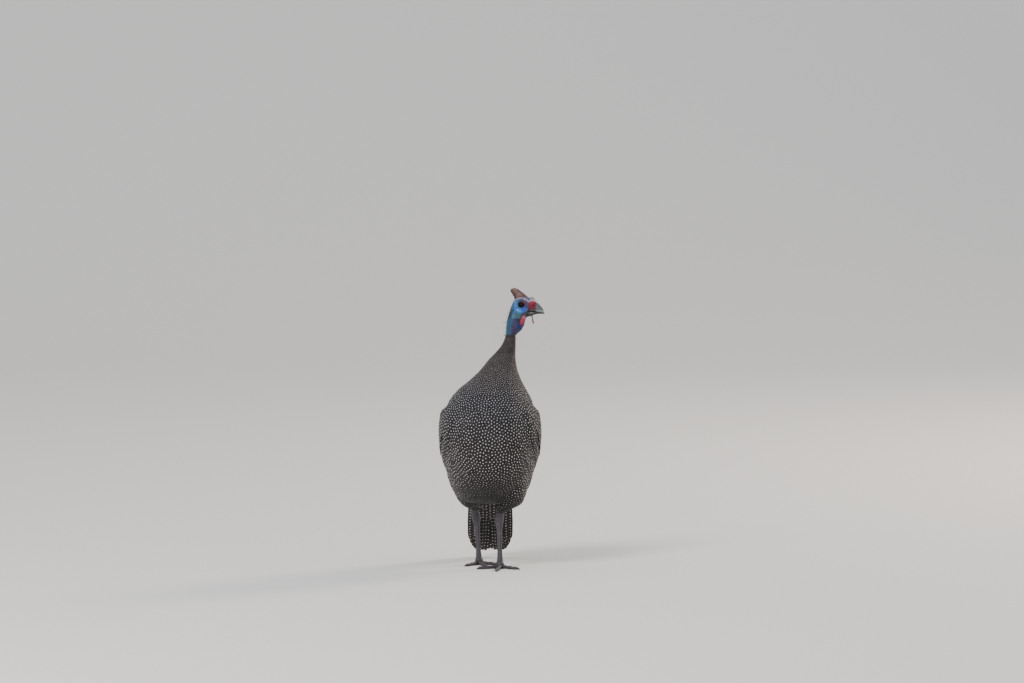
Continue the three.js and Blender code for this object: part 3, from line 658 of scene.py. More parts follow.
def feather_spacing(places):
    """How far apart the feathers stand: closest on the neck and low on the thighs."""
    return np.interp(places[:, 2], [95, 110, 135, 240, 290, 325, 350, 385, 421],
                     [2.6, 3.2, 6.2, 6.4, 5.6, 4.4, 3.5, 2.8, 2.3])


def spot_spacing(places):
    return np.interp(places[:, 2], [95, 115, 150, 250, 290, 320, 345, 380],
                     [4.0, 4.6, 5.1, 5.0, 4.6, 3.9, 3.2, 2.7])


# The side of the cells that hold the kept places, no less than the widest spacing
CELL = 6.5
NEIGHBOURS = list(itertools.product((-1, 0, 1), repeat=3))


def free_of(p, reach, near, key):
    """Whether no kept place lies within reach of p in the cells round its own."""
    for dx, dy, dz in NEIGHBOURS:
        for q in near.get((key[0] + dx, key[1] + dy, key[2] + dz), ()):
            if (p[0] - q[0]) ** 2 + (p[1] - q[1]) ** 2 + (p[2] - q[2]) ** 2 < reach * reach:
                return False
    return True


def scatter(spacing, lowest, highest, rounds):
    """Places spread evenly over the form, each its own spacing from the next, and the way out at each."""
    corners = FORM_POINTS[FORM_TRIANGLES]
    middles = corners.mean(1)
    areas = np.linalg.norm(np.cross(corners[:, 1] - corners[:, 0], corners[:, 2] - corners[:, 0]), axis=1) / 2
    wanted = areas / spacing(middles) ** 2
    wanted[(middles[:, 2] > highest) | (middles[:, 2] < lowest)] = 0
    tries = int(wanted.sum() * 8)
    picked = DRAWS.choice(len(wanted), tries, p=wanted / wanted.sum())
    a, b = DRAWS.random((2, tries))
    over = a + b > 1
    a[over], b[over] = 1 - a[over], 1 - b[over]
    first, second, third = np.moveaxis(corners[picked], 1, 0)
    places = first + (second - first) * a[:, None] + (third - first) * b[:, None]
    apart = spacing(places) * 0.84
    keys = np.floor(places / CELL).astype(int)
    kept, near = [], {}
    for i, (p, reach, key) in enumerate(zip(places.tolist(), apart.tolist(), keys.tolist())):
        if free_of(p, reach, near, key):
            kept.append(i)
            near.setdefault(tuple(key), []).append(p)
    places = places[kept]
    for _ in range(rounds):
        places = pushed_apart(places, spacing(places))
    places, outs = on_form(places)
    inside = (places[:, 2] < highest) & (places[:, 2] > lowest)
    return places[inside], outs[inside]


def pushed_apart(places, spacing):
    """Every place moves a little away from those near it, and stays on the form."""
    tree = KDTree(len(places))
    for i, p in enumerate(places.tolist()):
        tree.insert(p, i)
    tree.balance()
    moved = []
    for i, (p, apart) in enumerate(zip(places.tolist(), spacing.tolist())):
        x = y = z = 0.0
        reach = 1.4 * apart
        for q, j, distance in tree.find_range(p, reach):
            if j != i and distance > 1e-6:
                push = (1 - distance / reach) / distance
                x += (p[0] - q[0]) * push
                y += (p[1] - q[1]) * push
                z += (p[2] - q[2]) * push
        moved.append((p[0] + x * apart * 0.3, p[1] + y * apart * 0.3, p[2] + z * apart * 0.3))
    return on_form(np.array(moved))[0]


def lie_of_coat(places, outs, unrest):
    """The way that feathers point, down and back, laid along the surface."""
    x, y, z = places.T
    back = np.interp(z, [100, 125, 150, 250, 320, 350, 421], [0.2, 0.45, 0.75, 0.6, 0.4, 0.2, 0.1])
    side = 0.14 * np.tanh(y / 25) * smooth(0, 60, x) * smooth(350, 320, z)
    lean = smooth(340, 370, z) * -0.45
    wish = np.stack([-back, side + lean, -np.ones_like(z)], -1)
    wish += DRAWS.normal(0, 1, wish.shape) * unrest
    return unit(wish - outs * (wish * outs).sum(-1, keepdims=True))


# The folded wing: distance from the wrist, lower edge and upper edge
WING_LINES = [[0, -15, 14], [30, -27, 26], [70, -31, 33], [120, -29, 35], [170, -22, 27], [230, -12, 13]]


def wing_edges(along):
    at, low, high = np.array(WING_LINES, float).T
    return np.interp(along, at, low), np.interp(along, at, high)


def under_wing(places):
    """Which places the wing feathers hide."""
    rows, columns = 40, 16
    along, across = np.meshgrid(np.linspace(30, 205, rows), np.linspace(0.24, 0.88, columns), indexing="ij")
    low, high = wing_edges(along)
    hidden = np.zeros(len(places), bool)
    faces = [[i, i + 1, i + columns + 1, i + columns] for i in range((rows - 1) * columns - 1)
             if i % columns != columns - 1]
    for way in SIDES.values():
        points = on_wing(way, along, low + (high - low) * across, 1.0).reshape(-1, 3)
        tree = BVHTree.FromPolygons(points.tolist(), faces)
        for i, p in enumerate(places.tolist()):
            hidden[i] |= tree.find_nearest(p, 6.0)[0] is not None
    return hidden


def body_coat():
    places, outs = scatter(feather_spacing, COAT_LOW, COAT_HIGH, 6)
    shown = ~under_wing(places)
    places, outs = places[shown], outs[shown]
    ways = lie_of_coat(places, outs, 0.07)
    across = np.cross(outs, ways)
    spacing = feather_spacing(places)
    count = len(places)
    length = spacing * DRAWS.uniform(2.9, 3.5, count)
    width = spacing * DRAWS.uniform(1.9, 2.3, count)
    rows, columns = 7, 5
    s = np.linspace(0, 1, rows)[None, :, None]
    t = np.linspace(-1, 1, columns)[None, None, :]
    half = width[:, None, None] / 2 * outline(s, CONTOUR)
    reach = length[:, None, None] * (s - 0.1 * s ** 4 * t * t)
    flat = (places[:, None, None] + ways[:, None, None] * reach[..., None]
            + across[:, None, None] * (half * t)[..., None])
    on, out = on_form(flat)
    roll = DRAWS.normal(0, 0.05, count)[:, None, None]
    rise = spacing[:, None, None] * DRAWS.uniform(0.28, 0.42, count)[:, None, None]
    lift = 0.15 + rise * s ** 0.8 + roll * t * half - 0.16 * half * t * t * smooth(0.1, 0.5, s)
    grid = on + out * lift[..., None]
    height = places[:, 2]
    tone_and_shade = DRAWS.random(count)
    neck = smooth(318, 372, height + DRAWS.normal(0, 8, count))
    # Painted shade: feathers that face down, and the belly between the legs, are made darker with fainter
    # bars.
    below = smooth(-0.35, -0.8, outs[:, 2]) + bell(places[:, 1], 36) * smooth(160, 125, height)
    below = np.minimum(below, 1)
    blue_and_shade = smooth(245, 315, height) * smooth(-20, 40, places[:, 0]) - below
    tone_and_shade *= 1 - 0.8 * below
    shades = np.stack([tone_and_shade, neck, blue_and_shade], -1)
    angle = np.arctan2(places[:, 1], places[:, 0] - 10)
    sectors = {
        "coat_neck": height > 345,
        "coat_legs": height < 128,
        "coat_breast": np.abs(angle) < 0.8,
        "coat_back": np.abs(angle) > 2.3,
        "coat_left": angle > 0,
        "coat_right": angle <= 0,
    }
    taken = np.zeros(count, bool)
    made = {}
    for name, wanted in sectors.items():
        mine = wanted & ~taken
        taken |= mine
        if not mine.any():
            continue
        coat = Coat()
        coat.add(grid[mine], out[mine][:, 3, 2], 0.28, places[mine], shades[mine], True)
        made[name] = coat.build(name, body_unwrap)
    return made


coats = body_coat()
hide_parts("neck")


# Wings
# Tiers from the wrist back: how many feathers, first and last share of the width, root, tip of the lowest
# and the highest, how much further the middle ones reach, lifts at the root, near it and at the tip, and rows
# of spots
WING_TIERS = [
    [9, 0.0, 1.0, 10, [34, 36], 8, [2.4, 5.8, 7.6], 0],
    [9, 0.0, 1.0, 22, [52, 54], 9, [1.8, 6.2, 7.8], 0],
    [10, 0.0, 1.0, 36, [72, 74], 10, [1.6, 6.0, 7.0], 0],
    [10, 0.0, 1.0, 52, [96, 98], 11, [1.5, 5.4, 6.0], 0],
    [10, 0.0, 1.0, 70, [122, 120], 12, [1.2, 4.4, 4.8], 0],
    [11, 0.0, 1.0, 92, [196, 176], 18, [0.8, 3.3, 3.3], 14],
    [6, 0.22, 0.62, 144, [226, 214], 6, [0.4, 1.3, 1.3], 6],
]


WING_SPOT_STEP = 6.0

# Rows and columns of points on a vane
LONG_VANE, SHORT_VANE = (17, 7), (9, 7)


def vane_grid(place, root, tip, width, lifts, lap, arch, rows, columns, shape=VANE):
    """Grids of long vanes, laid out between roots and tips by a place function."""
    s = np.linspace(0, 1, rows)[None, :, None]
    t = np.linspace(-1, 1, columns)[None, None, :]
    half = width[:, None, None] / 2 * outline(s, shape)
    length = (tip - root)[:, 0, None, None]
    along = root[:, 0, None, None] + length * s - 0.3 * width[:, None, None] * s ** 8 * t * t
    across = root[:, 1, None, None] + (tip - root)[:, 1, None, None] * s + half * t
    lift = lifts[:, 0, None, None] + (lifts[:, 1] - lifts[:, 0])[:, None, None] * np.minimum(s / 0.3, 1)
    lift = lift + (lifts[:, 2] - lifts[:, 1])[:, None, None] * s + lap * 0.085 * half * t
    lift = lift - arch * half * t * t
    shaft = 0.22 * np.exp(-(t / 0.12) ** 2) * (1 - 0.6 * s)
    return place(along + 0 * t, across, lift + shaft)


def jittered(values, count, spread):
    """The same values for each of many feathers, each a little off."""
    shape = (count, values.size)
    return np.broadcast_to(values.ravel(), shape) + DRAWS.normal(0, 1, shape) * spread


def wing_coat(side):
    way = SIDES[side]
    coat = Coat()
    for count, first, last, root, tips, bulge, lifts, spot_rows in WING_TIERS:
        share = np.linspace(0, 1, count)
        line = first + (last - first) * share
        start = root - 3 * np.cos(math.pi * share) ** 2 + DRAWS.uniform(-1, 1, count)
        end = tips[0] + (tips[1] - tips[0]) * share + bulge * np.sin(math.pi * share)
        end = end + DRAWS.uniform(-2, 2, count)
        lows, highs = wing_edges(start)
        low_end, high_end = wing_edges(end)
        root_at = np.stack([start, lows + (highs - lows) * line], -1)
        tip_at = np.stack([end, low_end + (high_end - low_end) * line], -1)
        spread = ((highs - lows) + (high_end - low_end)) / 2 * (last - first) / (count - 1)
        width = 1.75 * spread * DRAWS.uniform(0.95, 1.05, count)
        long_one = end.mean() - start.mean() > 60
        rows, columns = LONG_VANE if long_one else SHORT_VANE
        tuck = 0.4 + 0.6 * smooth(0, 0.24, line)
        lift = np.array(lifts) * tuck[:, None] + DRAWS.uniform(-0.15, 0.15, (count, 1))
        grid = vane_grid(lambda a, c, l: on_wing(way, a, c, l), root_at, tip_at, width, lift, -1, 0.05,
                         rows, columns)
        out = grid[:, rows // 2, columns // 2] - np.array([-10, 0, 210.0])
        out[:, 2] = 0
        shades = np.stack([DRAWS.random(count), np.zeros(count), np.full(count, 0.3)], -1)
        roots = grid[:, 0, columns // 2]
        normals, facing = coat.add(grid, out, 0.4, roots, shades, not long_one)
        if not long_one:
            continue
        length = end - start
        across = np.array([0.3, 0.66])
        along = 0.96 - np.arange(spot_rows)[::-1] * WING_SPOT_STEP / length.mean()
        at_s, at_t = np.meshgrid(along, across, indexing="ij")
        at_s, at_t = jittered(at_s, count, 0.006), jittered(at_t, count, 0.012)
        size = DRAWS.uniform(0.85, 1.15, at_s.shape)
        coat.add_spots(grid, normals, at_s, at_t, size / length[:, None],
                       size * 1.25 / width[:, None] * facing[:, None], roots)
    made = coat.build(f"wing_feathers_{side}", wing_unwrap)
    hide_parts(f"wing_{side}")


def wing_unwrap(places):
    """The side of the body laid flat: backward across, and height up."""
    return np.stack([(places[:, 0] + 180) / 320, places[:, 2] / 400], -1)


for side in SIDES:
    wing_coat(side)


# Tail: two halves that fall like a roof, each feather under its inner neighbour. The rows of coverts over
# and under its root give count, root, tip, half spreads at both, width, lifts at the root, near it and at the
# tip, and droop at the sides.
TAIL_FEATHERS = {"half": 8, "root": 22, "tip": 160, "root_step": 4.3, "tip_spread": 36, "bend": 1.25,
                 "side_fall": 30, "width": 17, "lift": 1, "fall": 1.1}
TAIL_SPOT_STEP = 6.8
TAIL_COVERTS = [
    [9, 40, 100, [21, 30], 11, [2, 5.0, 3.2], 4],
    [9, 26, 80, [22, 29], 12, [5, 8.6, 5.4], 5],
    [9, 10, 62, [23, 28], 12, [9, 12.4, 7.6], 5],
    [8, -6, 44, [23, 27], 12, [13, 16.4, 11.4], 6],
    [7, -20, 28, [22, 25], 12, [16, 19.0, 15], 6],
    [7, 30, 88, [15, 20], 11, [-12, -15.2, -9.4], -3],
    [7, 12, 66, [17, 21], 12, [-15, -18.8, -13], -4],
    [7, -6, 46, [18, 22], 12, [-17, -22, -18], -4],
]


def tail_unwrap(places):
    """The slope of the tail laid flat: the width across, and the fall down it."""
    return np.stack([(places[:, 1] + 60) / 120, (places[:, 2] + places[:, 0] + 200) / 400], -1)


def tail_coat():
    coat = Coat()
    size = TAIL_FEATHERS
    n = np.repeat(np.arange(size["half"]), 2)
    way = np.tile([1, -1], size["half"])
    level = size["lift"] - size["fall"] * n - np.where(way > 0, 0, size["fall"] / 2)
    share = (n + 0.5) / size["half"]
    shorter = size["side_fall"] * share ** 4 + np.where(n == 0, 2, 0)
    root = np.stack([np.full(len(n), size["root"]), way * size["root_step"] * (n + 0.4)], -1)
    reach = size["tip"] - shorter + DRAWS.uniform(-1, 1, len(n))
    tip = np.stack([reach, way * size["tip_spread"] * np.sin(size["bend"] * share)], -1)
    width = size["width"] * DRAWS.uniform(0.95, 1.05, len(n))
    lifts = np.stack([level - 0.6, level, level], -1)
    tail_rows(coat, root, tip, width, lifts, 17, 9, 0.02)
    for count, start, end, (low, high), wide, lifts, droop in TAIL_COVERTS:
        t = np.linspace(-1, 1, count)
        root = np.stack([start - 3 * t * t + DRAWS.uniform(-1, 1, count), low * t], -1)
        tip = np.stack([end - 7 * t * t + DRAWS.uniform(-2, 2, count), high * t], -1)
        levels = np.array(lifts)[None] - droop * (t * t)[:, None] + DRAWS.uniform(-0.2, 0.2, (count, 1))
        wide = wide * DRAWS.uniform(0.95, 1.1, count)
        tail_rows(coat, root, tip, wide, levels, 9, 7, 0.06, np.sign(lifts[1]))
    made = coat.build("tail_feathers", tail_unwrap)
    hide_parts("tail")


def tail_rows(coat, root, tip, width, lifts, rows, columns, arch, face=1):
    count = len(root)
    grid = vane_grid(on_tail, root, tip, width, lifts, 0, arch * face, rows, columns)
    out = np.tile(TAIL_OUT * face, (count, 1))
    shades = np.stack([DRAWS.random(count), np.zeros(count), np.zeros(count)], -1)
    roots = grid[:, 0, columns // 2]
    normals, facing = coat.add(grid, out, 0.4, roots, shades, False)
    length = (tip - root)[:, 0]
    long_one = length.mean() > 90
    bands = int(length.mean() * (0.62 if long_one else 0.55) / TAIL_SPOT_STEP)
    lines = [0.26, 0.74] if long_one else [0.5]
    at_s, at_t = np.meshgrid(0.955 - np.arange(bands) * TAIL_SPOT_STEP / length.mean(), lines, indexing="ij")
    at_s = at_s - (at_t > 0.5) * 0.5 * TAIL_SPOT_STEP / length.mean()
    at_s, at_t = jittered(at_s, count, 0.3 / length[:, None]), jittered(at_t, count, 0.02)
    at_s = at_s + (np.arange(count) % 2)[:, None] * (0 if long_one else 2.6) / length[:, None]
    at_s = np.minimum(at_s, 0.97)
    spot = DRAWS.uniform(0.8, 1.1, at_s.shape)
    along, wide = spot * 0.85 / length[:, None], spot * 1.3 / width[:, None] * facing[:, None]
    coat.add_spots(grid, normals, at_s, at_t, along, wide, roots)
    if long_one:
        coat.add_spots(grid - normals * 0.4, -normals, at_s, at_t, along, -wide, roots)


tail_coat()


def even_spots():
    """Round pale spots spread evenly over the dotted feathers, each a thin disc laid on the outermost one."""
    points, quads, dotted, count = [], [], [], 0
    for grid, tag in COVER:
        feathers, rows, columns = grid.shape[:3]
        index = np.arange(feathers * rows * columns).reshape(feathers, rows, columns)
        a, b, c, d = index[:, :-1, :-1], index[:, :-1, 1:], index[:, 1:, 1:], index[:, 1:, :-1]
        quads.append(np.stack([a, b, c, d], -1).reshape(-1, 4) + count)
        dotted.append(np.full(len(quads[-1]), tag))
        points.append(grid.reshape(-1, 3))
        count += len(points[-1])
    cover = BVHTree.FromPolygons(np.concatenate(points).tolist(), np.concatenate(quads).tolist())
    dotted = np.concatenate(dotted)
    places, outs = scatter(spot_spacing, SPOTS_LOW, SPOTS_HIGH, 14)
    ways = lie_of_coat(places, outs, 0.0)
    found = {"front": [], "back": []}
    for place, out, way in zip(places, outs, ways):
        start, inward = Vector(place + out * 15), Vector(-out)
        hit, normal, face, _ = cover.ray_cast(start, inward, 24)
        size = DRAWS.uniform(0.85, 1.12)
        # Painted shade: spots drop out where the feathers face straight down.
        if hit is None or not dotted[face] or out[2] < -0.8:
            continue
        height = place[2]
        size *= np.interp(height, [98, 120, 150, 270, 310, 345, 370, 392],
                          [0.7, 0.9, 1.0, 0.98, 0.78, 0.48, 0.33, 0.25])
        # Painted shade: spots shrink on the underside and on the belly between the legs.
        size *= 1 - 0.4 * smooth(-0.25, -0.7, out[2])
        size *= 1 - 0.45 * bell(place[1], 34) * smooth(175, 135, height) * smooth(-20, 20, place[0])
        normal = np.array(normal)
        normal *= np.sign(normal @ out) or 1
        across = unit(np.cross(normal, way))
        down = np.cross(across, normal)
        centre = np.array(hit)
        longer = 1.1 + 0.25 * smooth(240, 160, height)
        flat = down * np.cos(SPOT_TURNS)[:, None] * longer + across * np.sin(SPOT_TURNS)[:, None]
        flat = centre + size * flat
        rim = []
        for p in flat:
            on, _, _, _ = cover.ray_cast(Vector(p + normal * 1.5), Vector(-normal), 2.4)
            rim.append(p if on is None else np.array(on))
        ends = [centre + normal * 0.28, centre - normal * 0.3]
        disc = np.concatenate([np.array(rim) + normal * 0.05, ends])
        found["front" if place[0] > 0 else "back"].append((disc, place))
    for region, discs in found.items():
        shapes, roots = (np.array(values) for values in zip(*discs))
        made = spot_mesh(f"spots_{region}", shapes, roots, body_unwrap)
        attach(made, "root")


even_spots()


# Bare skin of the head, joined to the flesh under the coat in one surface
HEAD_VOXEL = 0.42 * MM
BODY_VOXEL = 2.4 * MM
NECK_START, NECK_MEET, NECK_END = 404, 414, 418
HEAD_SIDES = 128
BROW = [[-15, 6.5], [-9, 9], [-1, 10.2], [7, 8.6], [12.5, 5]]
PALE_LINE = [[-16, 4], [-11.5, 8.4], [-5, 11.2], [2, 11.4], [9, 8.6], [14, 5.6]]
EYE = {"forward": 0.5, "side": 9.2, "height": -0.6, "radius": 5.4}
EAR = [-16.5, -11.5]
CERE_EDGE = 12.4
CERE_ROWS = [[3, -1, 9.6, 8], [7, -1, 11, 9.8], [11, -0.2, 11.6, 10.4], [17.5, 0.4, 12.8, 9.6],
             [22, -2, 11, 8.2], [25.1, -4.2, 9.2, 6.9], [26, -4.3, 8.2, 6]]
WATTLES = {
    "left": {"root": [12.5, 9.5, -18], "tip": [14.5, 14, -36], "wide": 3.6, "broad": [0.3, -0.95, 0]},
    "right": {"root": [7.5, -11.5, -17], "tip": [0, -14.6, -36.4], "wide": 4.6, "broad": [1, 0, 0]},
}
WATTLE_ROWS = [[-0.12, 0.5, 1.9], [0.1, 0.58, 1.6], [0.3, 0.76, 1.2], [0.48, 0.95, 1.05], [0.64, 0.98, 1.2],
               [0.8, 0.8, 1.4], [0.93, 0.48, 1.15], [1.02, 0.18, 0.5]]
LATTICE = np.random.default_rng(5).random((24, 24, 24)) * 2 - 1


def mottle(points, pitch):
    """Soft uneven values between -1 and 1, in lumps about one pitch across."""
    place = np.asarray(points, float) / pitch + 7.3
    cell = np.floor(place).astype(int)
    part = place - cell
    part = part * part * (3 - 2 * part)
    total = np.zeros(place.shape[:-1])
    for corner in np.ndindex(2, 2, 2):
        share = np.abs(1 - np.array(corner) - part).prod(-1)
        x, y, z = np.moveaxis((cell + corner) % len(LATTICE), -1, 0)
        total += share * LATTICE[x, y, z]
    return total


def to_line(x, z, line):
    """The distance in the side view from points to a line of straight pieces."""
    nearest = np.full(x.shape, 1e9)
    for (ax, az), (bx, bz) in zip(line[:-1], line[1:]):
        t = np.clip(((x - ax) * (bx - ax) + (z - az) * (bz - az)) / ((bx - ax) ** 2 + (bz - az) ** 2), 0, 1)
        nearest = np.minimum(nearest, np.hypot(x - ax - t * (bx - ax), z - az - t * (bz - az)))
    return nearest


class Tint:
    """Point colours, built up in layers."""

    def __init__(self, shape, base):
        self.colour = np.ones(shape) * np.array(base)

    def lay(self, share, shade):
        self.colour += (np.array(shade) - self.colour) * np.asarray(share)[..., None]

    def vary(self, amount):
        self.colour *= 1 + np.asarray(amount)[..., None]


def around_eye(x, z):
    return np.hypot((x - EYE["forward"]) / 1.08, (z - EYE["height"]) / 0.94)


def nostril_at(x, z):
    return np.hypot((x - 21.5) / 2.3, (z + 1.4 + 0.25 * (x - 21.5)) / 1.15)


def on_wattle(local, side):
    """How far down a wattle points are, 0 at its root and 1 at its tip, and how much they belong to it."""
    form = WATTLES[side]
    root, tip = np.array(form["root"], float), np.array(form["tip"], float)
    axis = (tip - root) / np.linalg.norm(tip - root)
    broad = unit(np.array(form["broad"], float) - axis * (axis @ np.array(form["broad"], float)))
    off = local - root
    t = (off @ axis) / np.linalg.norm(tip - root)
    thin = np.abs(off @ np.cross(axis, broad))
    half = form["wide"] * (0.62 + 0.5 * smooth(0.2, 0.6, t))
    inside = smooth(2.9, 2.1, thin) * smooth(half + 1.4, half + 0.4, np.abs(off @ broad))
    return t, inside * smooth(-0.02, 0.1, t) * smooth(1.3, 1.2, t)


def skin_relief(local):
    """Folds, lids, brow, ear and wrinkles of the bare skin, as heights over the smooth form."""
    x, y, z = local.T
    side = smooth(4, 9, np.abs(y))
    eye = around_eye(x, z)
    upper = smooth(-2, 3, z - EYE["height"])
    lids = (0.9 + 0.4 * upper) * bell(eye - 5.5, 0.8) + 0.35 * bell(eye - 7.7, 0.6)
    lids -= 3.4 * (1 - smooth(4.0, 4.8, eye)) + 0.3 * bell(eye - 6.6, 0.4)
    brow = 1.1 * bell(to_line(x, z, BROW), 1.5) - 0.4 * bell(to_line(x, z, BROW) - 2.4, 0.6)
    ear = np.hypot(x - EAR[0], (z - EAR[1]) / 1.2)
    ear = 0.4 * bell(ear - 2.8, 0.8) - 1.9 * bell(ear, 1.5)
    cheek = 0.6 * bell(np.hypot((x + 5) / 7, (z + 21) / 5), 1.0) - 0.6 * bell(z + 27.6 + 0.12 * x, 0.7)
    pouch = 0.5 * bell(np.hypot((x + 1) / 8, (z + 9.5) / 3.5), 1.0) - 0.35 * bell(z + 13.6 - 0.1 * x, 0.6)
    cere = smooth(CERE_EDGE - 0.5, CERE_EDGE + 0.8, x - 0.18 * z)
    nostril = nostril_at(x, z)
    beside = smooth(2, 6, np.abs(y))
    front = 0.5 * bell(np.hypot((x - 17) / 5, (z - 11.5) / 3), 1) * (1 - beside)
    front += beside * (0.4 * bell(nostril - 1.6, 0.45) - 1.8 * bell(nostril, 0.75))
    seam = -0.35 * bell(x - 0.18 * z - CERE_EDGE, 0.5) * smooth(-12, -9, z)
    neck = smooth(-24, -32, z)
    lay = np.stack([x * 0.34, y * 0.34, z], -1)
    folds = 0.28 * mottle(lay, 1.7) - 0.3 * bell(mottle(lay, 2.3), 0.12)
    network = -0.17 * bell(mottle(local, 2.1), 0.11) * (1 - neck)
    pebbles = 0.07 * mottle(local, 0.8) + 0.09 * mottle(local, 1.7)
    t, share = on_wattle(local, "right")
    other, part = on_wattle(local, "left")
    lobes = share * 0.2 * mottle(np.stack([t * 5, y * 0.4, x * 0.4], -1), 1.0)
    lobes += part * 0.2 * mottle(np.stack([other * 5, y * 0.4, x * 0.4], -1), 1.0)
    bare = 1 - np.maximum(share, part)
    clear = smooth(4.6, 6.5, eye) * side + (1 - side)
    face = side * (lids + brow + ear + cheek + pouch) * bare * (1 - cere)
    fine = (folds * neck * bare + network + pebbles * (1 - 0.4 * cere)) * clear
    return face + front * cere + seam * bare + fine + lobes


# Colour zones of the bare skin in the side view, among them painted highlights and shade: forward, height,
# half width, half height and colour
FACE_ZONES = [
    [-24, -44, 6, 26, (0.016, 0.075, 0.135)],
    [-14, -46, 6.5, 20, (0.035, 0.02, 0.07)],
    [-3, -42, 8, 13, (0.012, 0.015, 0.13)],
    [-5, -31.5, 9, 4, (0.022, 0.022, 0.075)],
    [-6, -20.5, 10, 6.8, (0.045, 0.115, 0.13)],
    [-14.5, -22, 3.6, 6, (0.05, 0.16, 0.29)],
    [7, -19, 7.5, 6.5, (0.035, 0.05, 0.06)],
    [-9, -27.6, 9, 1.5, (0.016, 0.018, 0.03)],
    [-1.5, -10, 12, 5.2, (0.018, 0.16, 0.55)],
    # Painted highlights: the next two are small bright cyan spots on the blue cheek.
    [-6.5, -10.4, 3.0, 1.5, (0.12, 0.46, 0.82)],
    [-2.2, -11.6, 2.2, 1.0, (0.09, 0.38, 0.76)],
    [5, -8.5, 4.5, 3.4, (0.02, 0.07, 0.46)],
    [9.4, -9, 2.0, 3.2, (0.05, 0.17, 0.5)],
    [-10.8, -1, 2.6, 8.5, (0.05, 0.18, 0.37)],
    [8.8, -2, 2.8, 6.5, (0.055, 0.035, 0.13)],
    [9.4, 3.6, 4.0, 3.0, (0.11, 0.012, 0.05)],
    [1.5, 5.4, 6.8, 3.8, (0.075, 0.012, 0.035)],
    # Painted shade: a near-black patch over the lids round the eye and up under the brow.
    [0.5, 1.6, 6.6, 4.6, (0.012, 0.006, 0.010)],
    # Painted shade: the ear hollow is near black.
    [EAR[0], EAR[1], 2.0, 2.4, (0.004, 0.004, 0.005)],
]


def skin_colours(local):
    warp = np.stack([mottle(local, 4.0), mottle(local + 40, 4.0), mottle(local + 80, 4.0)], -1)
    fine = np.stack([mottle(local, 1.3), mottle(local + 40, 1.3), mottle(local + 80, 1.3)], -1)
    x, y, z = (local + 1.3 * warp + 0.5 * fine).T
    side = smooth(2, 8, np.abs(y))
    low = smooth(-26, -32, z)
    tint = Tint(local.shape, (0.020, 0.095, 0.25))
    tint.lay(smooth(-17, -21, x) * smooth(-31, -23, z), (0.011, 0.014, 0.016))
    for forward, height, wide, tall, shade in FACE_ZONES:
        spread = np.hypot((x - forward) / wide, (z - height) / tall)
        tint.lay(smooth(1.42, 0.36, spread) * np.maximum(side, low), shade)
    tint.vary(0.35 * bell(mottle(local, 2.1), 0.16) * smooth(-16, -12, z))
    tint.lay(smooth(0.35, 0.75, mottle(local, 1.5)) * smooth(-16, -12, z) * 0.25, (0.16, 0.36, 0.55))
    tint.lay(smooth(1.7, 0.5, to_line(x, z, PALE_LINE)) * side * 0.92, (0.56, 0.38, 0.45))
    tint.lay(smooth(8.5, 11.5, z) * (1 - side), (0.30, 0.20, 0.23))
    eye = around_eye(local[:, 0], local[:, 2])
    rim = smooth(4, 8, np.abs(y))
    tint.lay(bell(eye - 5.4, 0.8) * rim * 0.75, (0.012, 0.010, 0.014))
    # Painted shade: the skin inside the lids, in the gap round the eyeball, is near black.
    tint.lay(smooth(5.0, 4.4, eye) * rim, (0.004, 0.003, 0.004))
    cere = smooth(CERE_EDGE - 0.9, CERE_EDGE + 0.9, x - 0.18 * z)
    red = Tint(local.shape, (0.18, 0.006, 0.034))
    red.lay(bell(np.hypot((x - 20) / 4.5, (z - 1.5) / 3.6), 1), (0.33, 0.008, 0.045))
    red.lay(smooth(16, 12.5, x) * 0.6, (0.085, 0.012, 0.05))
    red.lay(smooth(-7.0, -11.0, z), (0.04, 0.028, 0.034))
    red.lay(smooth(5.6, 8.2, z + 0.25 * (x - 14)), (0.55, 0.38, 0.44))
    red.lay(smooth(9.2, 11.2, z), (0.36, 0.34, 0.35))
    red.lay(bell(np.hypot((x - 14) / 3, (z - 10.2) / 1.8), 1) * 0.7, (0.09, 0.08, 0.09))
    nostril = nostril_at(local[:, 0], local[:, 2])
    # Painted shade: the nostril hollow is near black.
    red.lay(smooth(0.95, 0.55, nostril) * smooth(2, 5, np.abs(y)), (0.006, 0.003, 0.004))
    red.vary(0.18 * mottle(local, 1.2) - 0.25 * bell(mottle(local, 2.1), 0.12))
    tint.lay(cere, (0, 0, 0))
    tint.colour += red.colour * cere[:, None]
    for name in WATTLES:
        t, share = on_wattle(local, name)
        wattle = Tint(local.shape, (0.29, 0.006, 0.032))
        # Painted highlight: a pink band across the wattle a third of the way down.
        wattle.lay(bell(t - 0.3, 0.13) * 0.75, (0.42, 0.15, 0.22))
        wattle.lay(smooth(0.24, 0.08, t), (0.05, 0.03, 0.06))
        wattle.lay(smooth(0.3, 0.8, mottle(local, 1.6)) * 0.35, (0.17, 0.005, 0.03))
        wattle.vary(0.15 * mottle(local, 0.9))
        tint.lay(share, (0, 0, 0))
        tint.colour += wattle.colour * share[:, None]
    return np.clip(tint.colour * (0.84 + 0.12 * mottle(local, 0.9))[:, None], 0.001, 0.95)


def skin_finish(name, pitch, deep, strength, **fixed):
    """Skin or horn with its point colours, soft blotches, and pores or grain."""
    made = Finish(name, **fixed)
    pores = made.cells(pitch, feature="F1")
    soft = made.noise(pitch * 0.45, 4.0)
    colour = made.tint("skin").outputs["Color"]
    darker = made.add("ShaderNodeHueSaturation", {"Color": colour, "Value": 0.62}).outputs[0]
    colour = made.blend(made.span(soft, 0.35, 0.7, 0.0, 0.6), colour, darker)
    rough = made.span(soft, 0.3, 0.7, 0.42, 0.62)
    return made.done(colour, rough, made.maths("ADD", pores, soft), deep, strength)


